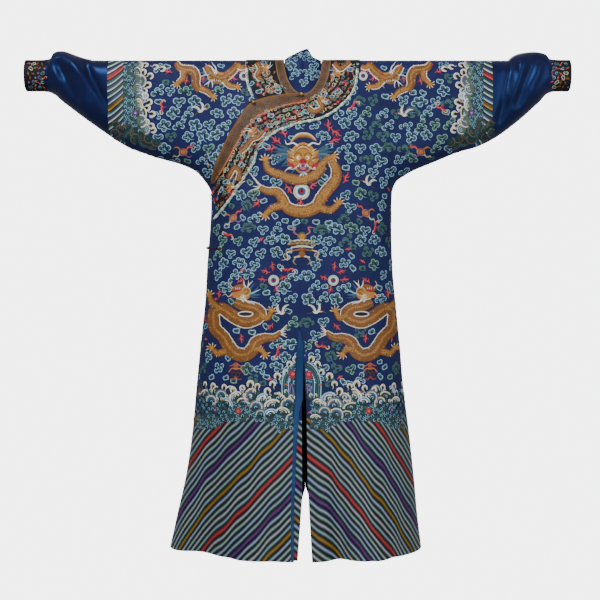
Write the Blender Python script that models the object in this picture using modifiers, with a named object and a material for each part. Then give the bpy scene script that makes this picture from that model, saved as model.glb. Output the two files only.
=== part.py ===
"""Chinese dragon robe, filled out as if worn with the arms held straight out, with no wearer.

Metres, +Z up. The front faces -Y and the wearer's left is at +X. The origin is the middle of the
straight shoulder line, where the wearer's shoulders carry the cloth.

All the cloth lies on one closed form. At a place (x, z) seen from the front, the form's half
depth h gives y = -h on the front and y = +h on the back, and h falls to nothing along the
outline. Each piece is a grid of such places, thickened inwards. Trims are moved outwards.
"""
import math

import bmesh
import bpy
import numpy as np
from mathutils import Vector

# Thicknesses and gaps
WALL = 0.0018            # main cloth
BAND_WALL = 0.0013       # collar band and trims
SEAM_GAP = 0.0004        # between the edges of two pieces
LAY_GAP = 0.0009         # under a strip that lies on a panel
ON_TRIM = LAY_GAP + BAND_WALL + 0.0002    # the outer face of a strip
LAYER_STEP = WALL + 0.0007   # from the outer front to the inner front

# Landmarks
ARMPIT_Z = -0.367
HEM_Z = -1.355
SLIT_TOP_Z = -0.746
SLEEVE_SEAM_X = 0.530    # one loom width from the middle
CUFF_SEAM_X = 0.705
CUFF_END_X = {-1: 0.765, 1: 0.752}

# Neck opening and the rings round it: middle, half width, drop in front, drop behind
NECK_X = 0.0084
NECK_CUT = (0.062, 0.1145, 0.022)
TRIM_INNER = (0.053, 0.1065, 0.016)
TRIM_OUTER = (0.0765, 0.1320, 0.040)
BAND_OUTER = (0.158, 0.1918, 0.118)

# Lower outline from the cuff along the underarm and down the side: z, -X side, +X side
LOWER_EDGE = (
    (-0.0850, 0.800, 0.800), (-0.0865, 0.705, 0.705), (-0.1180, 0.659, 0.6667),
    (-0.1650, 0.5963, 0.6142), (-0.2130, 0.528, 0.550), (-0.2410, 0.4824, 0.4935),
    (-0.2560, 0.443, 0.4385), (-0.2720, 0.397, 0.4016), (-0.2880, 0.3385, 0.3627),
    (-0.3020, 0.304, 0.328), (-0.3150, 0.2845, 0.302), (-0.3350, 0.2675, 0.272),
    (-0.3520, 0.2556, 0.2615), (-0.3670, 0.2485, 0.2575), (-0.4500, 0.250, 0.2553),
    (-0.5700, 0.2593, 0.2582), (-0.6700, 0.2646, 0.2665), (-0.8000, 0.2785, 0.2795),
    (-0.9100, 0.2892, 0.2886), (-1.0400, 0.301, 0.305), (-1.1600, 0.319, 0.318),
    (-1.2700, 0.3435, 0.328), (-1.3550, 0.3626, 0.3385), (-1.4500, 0.386, 0.350),
)
# Upper outline of the sleeves: distance from the middle, -X side, +X side
TOP_EDGE = (
    (0.000, 0.0, 0.0), (0.530, 0.0, 0.0), (0.575, 0.002, 0.0015), (0.600, 0.006, 0.016),
    (0.630, 0.016, 0.0225), (0.660, 0.026, 0.0235), (0.685, 0.0225, 0.0175),
    (0.705, 0.0035, 0.0035), (0.800, 0.0030, 0.0030),
)
# Half depth of the body by height: z, front, back
BODY_DEPTH = (
    (0.00, 0.056, 0.056), (-0.10, 0.074, 0.082), (-0.20, 0.098, 0.102), (-0.30, 0.113, 0.108),
    (-0.40, 0.121, 0.107), (-0.55, 0.127, 0.108), (-0.75, 0.140, 0.126), (-0.95, 0.160, 0.150),
    (-1.15, 0.180, 0.176), (-1.355, 0.200, 0.200),
)
# Sleeve by distance from the middle: x, half depth, rounding of the lower edge, of the top edge
SLEEVE_FORM = (
    (0.25, 0.060, 0.120, 0.055), (0.53, 0.055, 0.105, 0.055), (0.60, 0.060, 0.090, 0.058),
    (0.66, 0.055, 0.070, 0.055), (0.69, 0.044, 0.052, 0.048), (0.705, 0.037, 0.0445, 0.0445),
    (0.80, 0.036, 0.0445, 0.0445),
)
ROUND_POWER = 2.4        # 2 is an ellipse, more is boxier

# Soft folds of the skirt, as shares of the half width and of the depth:
# face, place at the hem, place at the top, top z, width, hollow (minus stands out)
FLUTES = (
    ("front", -0.76, -0.82, -0.80, 0.190, 0.44), ("front", -0.52, -0.44, -0.96, 0.050, 0.07),
    ("front", -0.20, -0.20, -1.10, 0.060, 0.035), ("front", 0.31, 0.33, -0.98, 0.085, 0.17),
    ("front", 0.60, 0.52, -0.92, 0.120, -0.14), ("front", 0.56, 0.50, -1.00, 0.035, 0.05),
    ("front", 0.73, 0.69, -1.15, 0.035, 0.05), ("back", -0.66, -0.60, -0.90, 0.090, 0.13),
    ("back", -0.30, -0.26, -1.00, 0.080, 0.10), ("back", 0.24, 0.22, -0.95, 0.075, 0.12),
    ("back", 0.58, 0.55, -0.85, 0.110, 0.12),
)
# Bunched folds of the satin sleeves: side, x and z of each end, width, hollow
SATIN_FOLDS = (
    (-1, 0.597, -0.012, 0.525, -0.145, 0.012, 0.16), (-1, 0.668, -0.020, 0.612, -0.110, 0.013, 0.15),
    (-1, 0.640, 0.010, 0.575, -0.090, 0.014, -0.12), (1, 0.584, -0.010, 0.552, -0.170, 0.012, 0.16),
    (1, 0.650, -0.005, 0.600, -0.125, 0.013, 0.15), (1, 0.620, 0.010, 0.575, -0.110, 0.014, -0.12),
)
# Edges beside the front slit: z, facing's left edge, facing's right edge, left panel's edge
SLIT_EDGES = (
    (-0.746, -0.0030, -0.0008, 0.0002), (-0.788, -0.0055, 0.0090, 0.0100),
    (-0.830, -0.0090, 0.0095, 0.0104), (-0.893, -0.0106, 0.0080, 0.0130),
    (-0.933, -0.0112, 0.0070, 0.0158), (-0.965, -0.0158, -0.0020, 0.0172),
    (-1.040, -0.0185, -0.0079, 0.0185), (-1.144, -0.0211, -0.0124, 0.0200),
    (-1.192, -0.0228, -0.0145, 0.0224), (-1.223, -0.0238, -0.0158, 0.0240),
    (-1.355, -0.0240, -0.0160, 0.0317),
)
# Edges of the back vent, tacked shut at the top: z, right back, left back
VENT_EDGES = (
    (-0.746, -0.0002, 0.0002), (-1.165, 0.0098, 0.0102), (-1.225, 0.0163, 0.0167),
    (-1.262, 0.0060, 0.0300), (-1.355, 0.0000, 0.0420),
)
# Free edge of the inner front: z, x
UNDERLAP_EDGE = ((-0.14, -0.006), (-0.70, -0.004), (-0.90, 0.0045), (-1.19, 0.0060), (-1.35, -0.0060))
# Lapel from the neck to the underarm: x and z of the free edge, x and z of the trim's other edge
LAPEL = (
    (0.0078, -0.1065, 0.0078, -0.1320), (-0.0195, -0.1070, -0.0175, -0.1346),
    (-0.0429, -0.1083, -0.0389, -0.1397), (-0.0838, -0.1157, -0.0757, -0.1524),
    (-0.1227, -0.1275, -0.1048, -0.1654), (-0.1431, -0.1413, -0.1198, -0.1752),
    (-0.1635, -0.1718, -0.1387, -0.1965), (-0.1879, -0.2103, -0.1612, -0.2272),
    (-0.2096, -0.2507, -0.1828, -0.2646), (-0.2277, -0.2879, -0.2047, -0.3025),
    (-0.2396, -0.3243, -0.2265, -0.3337), (-0.2475, -0.3653, -0.2292, -0.3385),
)
# Outer edge of the collar band below the neck and along the lapel: x, z
BAND_LAPEL_EDGE = (
    (0.0230, -0.1850), (-0.0029, -0.1898), (-0.0416, -0.2038), (-0.0676, -0.2158),
    (-0.0927, -0.2334), (-0.1121, -0.2565), (-0.1198, -0.2836), (-0.1353, -0.3142),
    (-0.1589, -0.3484), (-0.1906, -0.3938), (-0.2214, -0.4289), (-0.2265, -0.4340),
)
BAND_CORNER = (0.0465, -0.1798)    # where the band leaves the neck ring for the lapel
LAPEL_TRIM_END = (-0.2425, -0.3370)    # the trims stop short of the side seam
# Neck corner of the inner front: x, z of its top edge, and its side edges: z, -X, +X
FLAP_TOP = ((-0.0425, 0.0010), (-0.0300, 0.0080), (-0.0060, 0.0190), (0.0180, 0.0295),
            (0.0270, 0.0200), (0.0370, 0.0060), (0.0590, -0.0020))
FLAP_SIDES = ((-0.012, -0.0425, 0.0590), (-0.060, -0.0540, 0.0680), (-0.128, -0.0600, 0.0700))
# Angles at which the right ends of the neck rings are cut along the lapel: inner, outer
TRIM_END = ((0.60, 0.77), (0.36, 0.69), (0.14, 0.64))
BAND_END = ((0.95, 1.00), (0.82, 0.95), (0.66, 0.885))

SHARES_HIGH = (0.0, 0.10, 0.20, 0.27, 0.36, 0.46, 0.57, 0.68, 0.79, 0.88, 0.95, 1.0)
SHARES_LOW = (0.0, 0.12, 0.24, 0.37, 0.50, 0.63, 0.75, 0.85, 0.93, 0.98, 0.9975, 1.0)
SHARES_LEVEL = (-0.16, -0.35)     # z between which the columns close up towards the side
TOP_ROUND = 0.055
TOP_STEPS = (0.0, 0.12, 0.42, 0.70, 0.90, 1.0)     # of the half depth
ROWS_EVEN = (0.17, 0.34, 0.50, 0.67, 0.83, 1.0)
ROWS_CLOSING = (0.30, 0.58, 0.80, 0.93, 0.985, 1.0)
LOW_ROWS = (-0.42, -0.49, -0.56, -0.62, -0.685, -0.746, -0.80, -0.86, -0.92, -0.98, -1.04,
            -1.10, -1.165, -1.225, -1.262, -1.31, HEM_Z)
RING_SIDES = 20                   # round a satin sleeve or a cuff
RING_STEPS = 15                   # round a quarter of the neck
TRIM_FIRST_STEP, BAND_FIRST_STEP, BAND_LAST_STEP = 10, 8, 13
LAPEL_SHIFT = 0.0012              # keeps the steep end of the lapel clear of the right front
ARMPIT_GAP = 0.004
SLEEVE_COLUMNS = (0.0, 0.025, 0.06, 0.12, 0.21, 0.34, 0.50, 0.68, 0.86, 0.985, 1.0)

COLOURS = {    # colour, roughness, metallic
    "blue silk": ((0.020, 0.045, 0.160, 1), 0.55, 0.0),
    "blue satin": ((0.012, 0.030, 0.110, 1), 0.30, 0.0),
    "black silk": ((0.020, 0.022, 0.030, 1), 0.60, 0.0),
    "brown brocade": ((0.190, 0.095, 0.055, 1), 0.55, 0.0),
    "light blue satin": ((0.060, 0.150, 0.290, 1), 0.35, 0.0),
    "gilt brass": ((0.560, 0.360, 0.120, 1), 0.30, 1.0),
}


def smoothstep(value, low, high):
    """0 below low, 1 above high and an even ease between; low may be the greater."""
    share = np.clip((np.asarray(value, float) - low) / (high - low), 0.0, 1.0)
    return share * share * (3.0 - 2.0 * share)


def smooth_curve(points, steps=6):
    """Points along a smooth curve through the given ones."""
    given = np.array(points, float)
    padded = np.vstack([2 * given[0] - given[1], given, 2 * given[-1] - given[-2]])
    curve = []
    for first, second, third, fourth in zip(padded, padded[1:], padded[2:], padded[3:]):
        for share in np.arange(steps) / steps:
            bend = 2 * first - 5 * second + 4 * third - fourth
            turn = 3 * second - first - 3 * third + fourth
            curve.append(second + 0.5 * share * ((third - first) + share * (bend + share * turn)))
    curve.append(given[-1])
    return np.array(curve)


def falling(table, column, z):
    """A table's column at height z, where the first column is z and falls."""
    rows = np.array(table, float)
    return np.interp(-np.asarray(z, float), -rows[:, 0], rows[:, column])


EDGE_CURVE = smooth_curve(LOWER_EDGE)
EDGE_CURVE[:, 0] = np.minimum.accumulate(EDGE_CURVE[:, 0])
LAPEL_CURVE = smooth_curve(LAPEL)
TOP_CURVE = smooth_curve(TOP_EDGE)
DEPTH_CURVE = smooth_curve(BODY_DEPTH)
SLEEVE_CURVE = smooth_curve(SLEEVE_FORM)
SIDE_COLUMN = {-1: 1, 1: 2}


def side_x(side, z):
    """Distance from the middle to the outline at height z."""
    return np.interp(-np.asarray(z, float), -EDGE_CURVE[:, 0], EDGE_CURVE[:, SIDE_COLUMN[side]])


def sleeve_bottom_z(side, distance):
    """Height of the sleeve's lower outline at a distance from the middle."""
    arm = EDGE_CURVE[EDGE_CURVE[:, 0] > ARMPIT_Z - 1e-6]
    return np.interp(distance, arm[::-1, SIDE_COLUMN[side]], arm[::-1, 0])


def sleeve_top_z(side, distance):
    """Height of the upper outline at a distance from the middle."""
    return np.interp(distance, TOP_CURVE[:, 0], TOP_CURVE[:, SIDE_COLUMN[side]])


def edge_distance(side, distance, z):
    """Shortest way from each place to the lower outline of its side; nothing outside it."""
    column = SIDE_COLUMN[side]
    shortest = np.full(np.shape(z), 1e9)
    for start, end in zip(EDGE_CURVE, EDGE_CURVE[1:]):
        ax, az, bx, bz = start[column], start[0], end[column], end[0]
        length = (bx - ax) ** 2 + (bz - az) ** 2
        share = np.clip(((distance - ax) * (bx - ax) + (z - az) * (bz - az)) / length, 0, 1)
        gap = np.hypot(distance - ax - share * (bx - ax), z - az - share * (bz - az))
        shortest = np.minimum(shortest, gap)
    return np.where(distance > side_x(side, z), 0.0, shortest)


def fold_share(side, x, z, back):
    """How much the folds deepen or draw in the form, as a share of its depth."""
    distance = np.abs(x)
    across = x / side_x(side, np.minimum(z, ARMPIT_Z))
    total = np.zeros(np.shape(z))
    for face, hem_place, top_place, top_z, width, hollow in FLUTES:
        if (face == "back") == back:
            down = np.clip((top_z - z) / (top_z - HEM_Z), 0, 1)
            place = top_place + (hem_place - top_place) * down
            total -= hollow * down ** 1.3 * np.exp(-((across - place) / width) ** 2)
    for fold_side, ax, az, bx, bz, width, hollow in SATIN_FOLDS:
        if fold_side == side:
            length = (bx - ax) ** 2 + (bz - az) ** 2
            share = np.clip(((distance - ax) * (bx - ax) + (z - az) * (bz - az)) / length, 0, 1)
            gap = np.hypot(distance - ax - share * (bx - ax), z - az - share * (bz - az))
            total -= hollow * np.exp(-(gap / width) ** 2)
    return total


def half_depth_squared(x, z, back):
    x, z = np.broadcast_arrays(np.asarray(x, float), np.asarray(z, float))
    result = np.zeros(x.shape)
    for side in (-1, 1):
        here = (x >= 0) if side == 1 else (x < 0)
        if here.any():
            result[here] = side_depth_squared(side, x[here], z[here], back)
    return result


def side_depth_squared(side, x, z, back):
    distance = np.abs(x)
    arm_depth, arm_round, top_round = (
        np.interp(distance, SLEEVE_CURVE[:, 0], SLEEVE_CURVE[:, column]) for column in (1, 2, 3))
    above_armpit = smoothstep(z, ARMPIT_Z - 0.04, ARMPIT_Z + 0.18)
    as_sleeve = smoothstep(distance, 0.08, 0.30) * above_armpit
    body_depth = falling(DEPTH_CURVE, 2 if back else 1, z)
    depth = body_depth + (arm_depth - body_depth) * as_sleeve
    depth = depth * (1 + fold_share(side, x, z, back))
    body_round = side_x(side, np.minimum(z, ARMPIT_Z))
    edge_round = body_round + (arm_round - body_round) * smoothstep(distance, 0.12, 0.30) * above_armpit
    below_top = sleeve_top_z(side, distance) - z
    from_top = np.clip(below_top / top_round, 0, 1)
    from_edge = np.clip(edge_distance(side, distance, z) / edge_round, 0, 1)
    rounding = (1 - (1 - from_top) ** ROUND_POWER) * (1 - (1 - from_edge) ** ROUND_POWER)
    return depth ** 2 * rounding


def outward(x, z, back):
    """Directions square to the form at places (x, z).

    Near a sleeve seam they stay in the cross-section, so that the gap there stays even.
    """
    step = 2e-4

    def squared(at_x, at_z):
        return np.where(back, half_depth_squared(at_x, at_z, True), half_depth_squared(at_x, at_z, False))

    slope_x = (squared(x + step, z) - squared(x - step, z)) / (2 * step)
    slope_z = (squared(x, z + step) - squared(x, z - step)) / (2 * step)
    slope_x = np.where(np.abs(x) > SLEEVE_SEAM_X - 0.03, 0.0, slope_x)
    way = np.where(back, 2.0, -2.0)
    out = np.stack([-slope_x, way * np.sqrt(squared(x, z)), -slope_z], axis=-1)
    return out / np.maximum(np.linalg.norm(out, axis=-1, keepdims=True), 1e-9)


def cloth_points(x, z, back, lift=0.0, seam=SEAM_GAP / 2):
    """Points on the form at places (x, z), moved out square to it by lift."""
    x, z, back = np.broadcast_arrays(np.asarray(x, float), np.asarray(z, float), back)
    faces = [np.sqrt(half_depth_squared(x, z, face)) for face in (False, True)]
    depth = np.where(back, faces[1], faces[0])
    points = np.stack([x, np.where(back, 1.0, -1.0) * (depth + seam), z], axis=-1)
    if np.ndim(lift) == 0 and lift == 0.0:
        return points
    return points + outward(x, z, back) * np.asarray(lift)[..., None]


def bulge(places, back):
    """How far the form stands out beyond straight lines between neighbouring places."""
    most = np.zeros(places.shape[:2])
    on_form = cloth_points(places[..., 0], places[..., 1], back, 0.0, 0.0)
    for down, along in ((1, 0), (0, 1), (1, 1)):
        first = (slice(None, -1 if down else None), slice(None, -1 if along else None))
        second = (slice(down, None), slice(along, None))
        middle = (places[first] + places[second]) / 2
        behind = back[first] | back[second]
        there = cloth_points(middle[..., 0], middle[..., 1], behind, 0.0, 0.0)
        gap = there - (on_form[first] + on_form[second]) / 2
        gap = np.sum(gap * outward(middle[..., 0], middle[..., 1], behind), axis=-1)
        most[first] = np.maximum(most[first], gap)
        most[second] = np.maximum(most[second], gap)
    return most


def finish(name, mesh, colour, smooth=True):
    """Puts a mesh in the robe's collection as a named object with its own material."""
    rgba, roughness, metallic = COLOURS[colour]
    material = bpy.data.materials.new(name + " " + colour)
    material.use_nodes = True
    shader = material.node_tree.nodes["Principled BSDF"]
    shader.inputs["Base Color"].default_value = rgba
    shader.inputs["Roughness"].default_value = roughness
    shader.inputs["Metallic"].default_value = metallic
    mesh.materials.append(material)
    if smooth:
        mesh.shade_smooth()
        mesh.set_sharp_from_angle(angle=math.radians(50))
    piece = bpy.data.objects.new(name, mesh)
    robe.objects.link(piece)
    return piece


def wall_between(name, skins, colour):
    """One closed wall from its outer and inner faces.

    Each skin is a pair of equal grids of points, outer and inner. Skins join where their
    outer points meet, and every free edge is closed by a narrow rim.
    """
    numbers = {}
    outer, inner, faces = [], [], []
    for outer_grid, inner_grid in skins:
        rows, columns = outer_grid.shape[:2]
        index = np.empty((rows, columns), int)
        for i in range(rows):
            for j in range(columns):
                key = tuple(np.round(outer_grid[i, j] / 2e-5).astype(int))
                if key not in numbers:
                    numbers[key] = len(outer)
                    outer.append(outer_grid[i, j])
                    inner.append(inner_grid[i, j])
                index[i, j] = numbers[key]
        for i in range(rows - 1):
            for j in range(columns - 1):
                corner, far = index[i, j], index[i + 1, j + 1]
                faces += [(corner, index[i, j + 1], far), (corner, far, index[i + 1, j])]
    edges = {}
    for face in faces:
        for start, end in zip(face, face[1:] + face[:1]):
            edges.setdefault((min(start, end), max(start, end)), []).append((start, end))
    free = [found[0] for found in edges.values() if len(found) == 1]
    count = len(outer)
    walls = list(faces) + [tuple(count + corner for corner in face[::-1]) for face in faces]
    walls += [(end, start, count + start, count + end) for start, end in free]
    shell = bmesh.new()
    corners = [shell.verts.new(point) for point in outer + inner]
    for face in walls:
        kept = [corners[corner] for corner in dict.fromkeys(face)]
        if len(kept) > 2:
            shell.faces.new(kept)
    bmesh.ops.recalc_face_normals(shell, faces=shell.faces)
    mesh = bpy.data.meshes.new(name)
    shell.to_mesh(mesh)
    shell.free()
    return finish(name, mesh, colour)


def row_levels(start, end, shares):
    """Levels below the shoulder line from start to end, close together over the shoulder's round."""
    rounded = [TOP_ROUND * (1 - (1 - step ** 2) ** (1 / ROUND_POWER)) for step in TOP_STEPS]
    squeeze = min(1.0, 0.6 * (end - start) / TOP_ROUND)
    levels = [start + squeeze * level for level in rounded]
    last = levels[-1]
    return levels + [last + (end - last) * share for share in shares]


def neck_cut_depth(x, drop):
    """How far below the shoulder line the neck opening is cut at x."""
    inside = 1 - ((x - NECK_X) / NECK_CUT[0]) ** 2
    return drop * math.sqrt(inside) if inside > 0 else 0.0


def column_share(index, z):
    closing = float(smoothstep(z, *SHARES_LEVEL))
    return SHARES_HIGH[index] + (SHARES_LOW[index] - SHARES_HIGH[index]) * closing


def column_x(side, index, z, middle):
    """x of a body column at height z; middle(z) is the x of the panel's centre edge."""
    width = float(side_x(side, min(z, ARMPIT_Z)))
    return middle(z) + (side * width - middle(z)) * column_share(index, z)


def body_columns(side, middle, top_level, end_level, low_rows, first=0, closing=1.0):
    """(x, z) places of a half panel: columns from the centre edge to the side, rows downwards."""
    columns = []
    for index in range(first, len(SHARES_HIGH)):
        share = SHARES_HIGH[index] ** 2 * closing
        rows = [even + (close - even) * share for even, close in zip(ROWS_EVEN, ROWS_CLOSING)]
        guess = column_x(side, index, -0.05, middle)
        levels = [-level for level in row_levels(top_level(guess), end_level(index), rows)]
        levels += list(low_rows)
        columns.append([(column_x(side, index, z, middle), z) for z in levels])
    return np.array(columns)


def sleeve_columns(side):
    """(x, z) places of the upper sleeve, from the side line to the sleeve seam."""
    start = float(side_x(side, ARMPIT_Z))
    end = SLEEVE_SEAM_X - SEAM_GAP / 2
    columns = []
    for share in SLEEVE_COLUMNS:
        distance = start + (end - start) * share
        depth = -float(sleeve_bottom_z(side, distance))
        columns.append([(side * distance, -level) for level in row_levels(0.0, depth, ROWS_CLOSING)])
    return np.array(columns)


def lapel_level(index, shift=0.0):
    """How far below the shoulder line a column of the right side crosses the lapel's free edge."""
    high, low = LAPEL[0][1], ARMPIT_Z
    for _ in range(30):
        z = (high + low) / 2
        x = column_x(-1, index, z, straight_middle(-1)) + shift
        if z > np.interp(x, LAPEL_CURVE[::-1, 0], LAPEL_CURVE[::-1, 1]):
            high = z
        else:
            low = z
    return -(high + low) / 2


def straight_middle(side):
    return lambda z: side * SEAM_GAP / 2


def left_slit_edge(z):
    return float(falling(SLIT_EDGES, 3, z)) if z < SLIT_TOP_Z else SEAM_GAP / 2


def overlap_slit_edge(z):
    return float(falling(SLIT_EDGES, 1, z)) - SEAM_GAP / 2 if z < SLIT_TOP_Z else -SEAM_GAP / 2


def vent_edge(side):
    return lambda z: float(falling(VENT_EDGES, SIDE_COLUMN[side], z))


def skin(places, back, thickness=WALL, lift=0.0):
    """Outer and inner points of a wall at a grid of places."""
    x, z = places[..., 0], places[..., 1]
    return cloth_points(x, z, back, lift), cloth_points(x, z, back, lift - thickness)


def make_panels():
    armpit = -ARMPIT_Z
    for side, word in ((1, "left"), (-1, "right")):
        sleeve = sleeve_columns(side)
        back = body_columns(side, vent_edge(side), lambda x: neck_cut_depth(x, NECK_CUT[2]),
                            lambda index: armpit, LOW_ROWS)
        wall_between("back_" + word, [skin(back, True), skin(sleeve, True)], "blue silk")
    left = body_columns(1, left_slit_edge, lambda x: neck_cut_depth(x, NECK_CUT[1]),
                        lambda index: armpit, LOW_ROWS)
    wall_between("front_left", [skin(left, False), skin(sleeve_columns(1), False)], "blue silk")
    first_beside_neck, last = 2, len(SHARES_HIGH) - 1
    right = body_columns(-1, straight_middle(-1), lambda x: neck_cut_depth(x, NECK_CUT[1]),
                         lambda index: armpit if index == last else
                         lapel_level(index, LAPEL_SHIFT) - SEAM_GAP, (), first_beside_neck)
    wall_between("front_right", [skin(right, False), skin(sleeve_columns(-1), False)], "blue silk")


def overlap_columns():
    """(x, z) places of the outer overlap: columns from the slit edge to the side, rows downwards."""
    columns = []
    for index in range(len(SHARES_HIGH)):
        last = index == len(SHARES_HIGH) - 1
        top = ARMPIT_Z - ARMPIT_GAP if last else -lapel_level(index)
        levels = list(np.linspace(top, LOW_ROWS[0], 9)) + list(LOW_ROWS[1:])
        columns.append([(column_x(-1, index, z, overlap_slit_edge), z) for z in levels])
    return np.array(columns)


def make_overlap():
    """The outer overlap, and the inner front one layer in, which ends short of the side seam."""
    places = overlap_columns()
    wall_between("front_overlap", [skin(places, False)], "blue silk")
    inner = places[:-2, 1:].copy()
    free_edge = falling(UNDERLAP_EDGE, 1, inner[0, :, 1])
    inner = np.concatenate([np.stack([free_edge, inner[0, :, 1]], -1)[None], inner])
    inner[:, -1, 1] = HEM_Z + 0.004
    wall_between("underlap", [skin(inner, False, WALL, -LAYER_STEP)], "blue silk")


def tube(name, side, stations, colour):
    """A sleeve or cuff: rings at distances from the middle, each closed over top and bottom."""
    turns = np.linspace(0, 2 * math.pi, RING_SIDES + 1)
    back = turns > math.pi + 1e-6
    places = []
    for distance in stations:
        high = float(sleeve_top_z(side, distance))
        low = float(sleeve_bottom_z(side, distance))
        heights = high + (low - high) * (0.5 - 0.5 * np.cos(turns))
        places.append(np.stack([np.full(len(turns), side * distance), heights], -1))
    places = np.array(places)
    x, z = places[..., 0], places[..., 1]
    outer = cloth_points(x, z, back, 0.0, 0.0)
    inner = cloth_points(x, z, back, -WALL, 0.0)
    for grid in (outer, inner):
        grid[:, (0, RING_SIDES // 2), 1] = 0.0
        grid[:, RING_SIDES] = grid[:, 0]
    wall_between(name, [(outer, inner)], colour)


def make_sleeves():
    start = SLEEVE_SEAM_X + SEAM_GAP / 2
    end = CUFF_SEAM_X - SEAM_GAP / 2
    for side, word in ((1, "left"), (-1, "right")):
        satin = [start] + list(np.linspace(0.548, 0.692, 9)) + [end]
        tube("sleeve_" + word, side, satin, "blue satin")
        cuff_start = CUFF_SEAM_X + SEAM_GAP / 2
        last = CUFF_END_X[side]
        tube("cuff_" + word, side, [cuff_start, (cuff_start + last) / 2, last], "black silk")


def ring_place(ring, angle, side):
    """x, z and face of a neck ring's point; the angle is 0 at the middle front, 180 degrees behind."""
    half, front_drop, back_drop = ring
    turn = math.cos(angle)
    drop = front_drop if turn >= 0 else back_drop
    return NECK_X + side * half * math.sin(angle), -drop * abs(turn), turn < -1e-9


def ring_angles(first_step):
    """Angles from a step below the shoulder round to the middle behind, closest at the shoulder."""
    quarter = [math.pi / 2 * (1 - (step / RING_STEPS) ** 2) for step in range(RING_STEPS + 1)]
    return quarter[first_step::-1] + [math.pi - angle for angle in quarter[1:]]


def strip(name, pairs, across, colour):
    """A band that lies on the panels between two edges; a pair holds (x, z, back) of each."""
    shares = np.linspace(0, 1, across + 1)
    ends = np.array([[start[:2], end[:2]] for start, end in pairs])
    places = ends[:, :1] + (ends[:, 1:] - ends[:, :1]) * shares[None, :, None]
    back = np.array([start[2] or end[2] for start, end in pairs])[:, None] & np.ones(across + 1, bool)
    x, z = places[..., 0], places[..., 1]
    lift = LAY_GAP + bulge(places, back)
    outer = cloth_points(x, z, back, lift + BAND_WALL, 0.0)
    inner = cloth_points(x, z, back, lift, 0.0)
    wall_between(name, [(outer, inner)], colour)


def make_neck_trims():
    right = [(ring_place(TRIM_INNER, inner, -1), ring_place(TRIM_OUTER, outer, -1))
             for inner, outer in TRIM_END[::-1]]
    right += [(ring_place(TRIM_INNER, angle, -1), ring_place(TRIM_OUTER, angle, -1))
              for angle in ring_angles(TRIM_FIRST_STEP)]
    left = [(ring_place(TRIM_INNER, angle, 1), ring_place(TRIM_OUTER, angle, 1))
            for angle in ring_angles(RING_STEPS)]
    strip("neck_trim", right + left[::-1][1:], 2, "brown brocade")
    rows = LAPEL[:-1] + (LAPEL_TRIM_END + LAPEL[-1][2:],)
    lapel = [((ax, az, False), (bx, bz, False)) for ax, az, bx, bz in smooth_curve(rows, 3)]
    strip("lapel_trim", lapel, 2, "brown brocade")


def make_collar_band():
    """Black band: up from the lapel over the right shoulder, round behind, and down the lapel."""
    inner_ring = tuple(size + SEAM_GAP for size in TRIM_OUTER)
    right = [(ring_place(inner_ring, inner, -1), ring_place(BAND_OUTER, outer, -1))
             for inner, outer in BAND_END[::-1]]
    right += [(ring_place(inner_ring, angle, -1), ring_place(BAND_OUTER, angle, -1))
              for angle in ring_angles(BAND_FIRST_STEP)]
    left = [(ring_place(inner_ring, angle, 1), ring_place(BAND_OUTER, angle, 1))
            for angle in ring_angles(BAND_LAST_STEP)]
    corner_angle = math.pi / 2 * (1 - ((RING_STEPS - 1) / RING_STEPS) ** 2)
    corner = [(ring_place(inner_ring, corner_angle, 1), (*BAND_CORNER, False))]
    trim_edge = smooth_curve([row[2:] for row in LAPEL], 3)
    outer_edge = smooth_curve(BAND_LAPEL_EDGE, 3)
    below_trim = 0.0007
    lapel = [((ax + below_trim / 2, az - below_trim, False), (bx, bz, False))
             for (ax, az), (bx, bz) in zip(trim_edge, outer_edge)]
    strip("collar_band", right + left[::-1][1:] + corner + lapel, 5, "black silk")


def make_neck_flap():
    """The inner front's corner: against the front below the neck, leaning back above it."""
    bottom = FLAP_SIDES[-1][0]
    tops = np.array(FLAP_TOP)
    sides = np.array(FLAP_SIDES)
    columns = []
    for share in np.linspace(0, 1, 10):
        high = float(np.interp(tops[0, 0] + (tops[-1, 0] - tops[0, 0]) * share, tops[:, 0], tops[:, 1]))
        column = []
        for z in bottom + (high - bottom) * np.linspace(0, 1, 8):
            near, far = (float(falling(sides, edge, z)) for edge in (1, 2))
            x = near + (far - near) * share
            lean = float(smoothstep(z, bottom + 0.004, -0.004))
            against = cloth_points(x, min(z, -0.0005), False, -LAYER_STEP)[1]
            set_back = -0.026 * (1 - ((x - NECK_X) / 0.085) ** 2)
            column.append((x, against + (set_back - against) * lean, z))
        columns.append(column)
    outer = np.array(columns)
    wall_between("neck_flap", [(outer, outer + np.array([0, WALL, 0]))], "blue silk")


def make_slit_facing():
    rows = [z for z in LOW_ROWS if z < SLIT_TOP_Z - 0.001]
    places = [[(overlap_slit_edge(z) + SEAM_GAP, z), (float(falling(SLIT_EDGES, 2, z)), z)] for z in rows]
    wall_between("slit_facing", [skin(np.array(places), False)], "light blue satin")


# Buttons: name, x, z, ball radius, lift of what carries the ball
BUTTONS = (
    ("neck", 0.0040, -0.1105, 0.0050, ON_TRIM), ("lapel", -0.1262, -0.1325, 0.0048, ON_TRIM),
    ("underarm", -0.2483, -0.2976, 0.0048, 0.0), ("side", -0.2500, -0.5250, 0.0048, 0.0),
)
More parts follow.
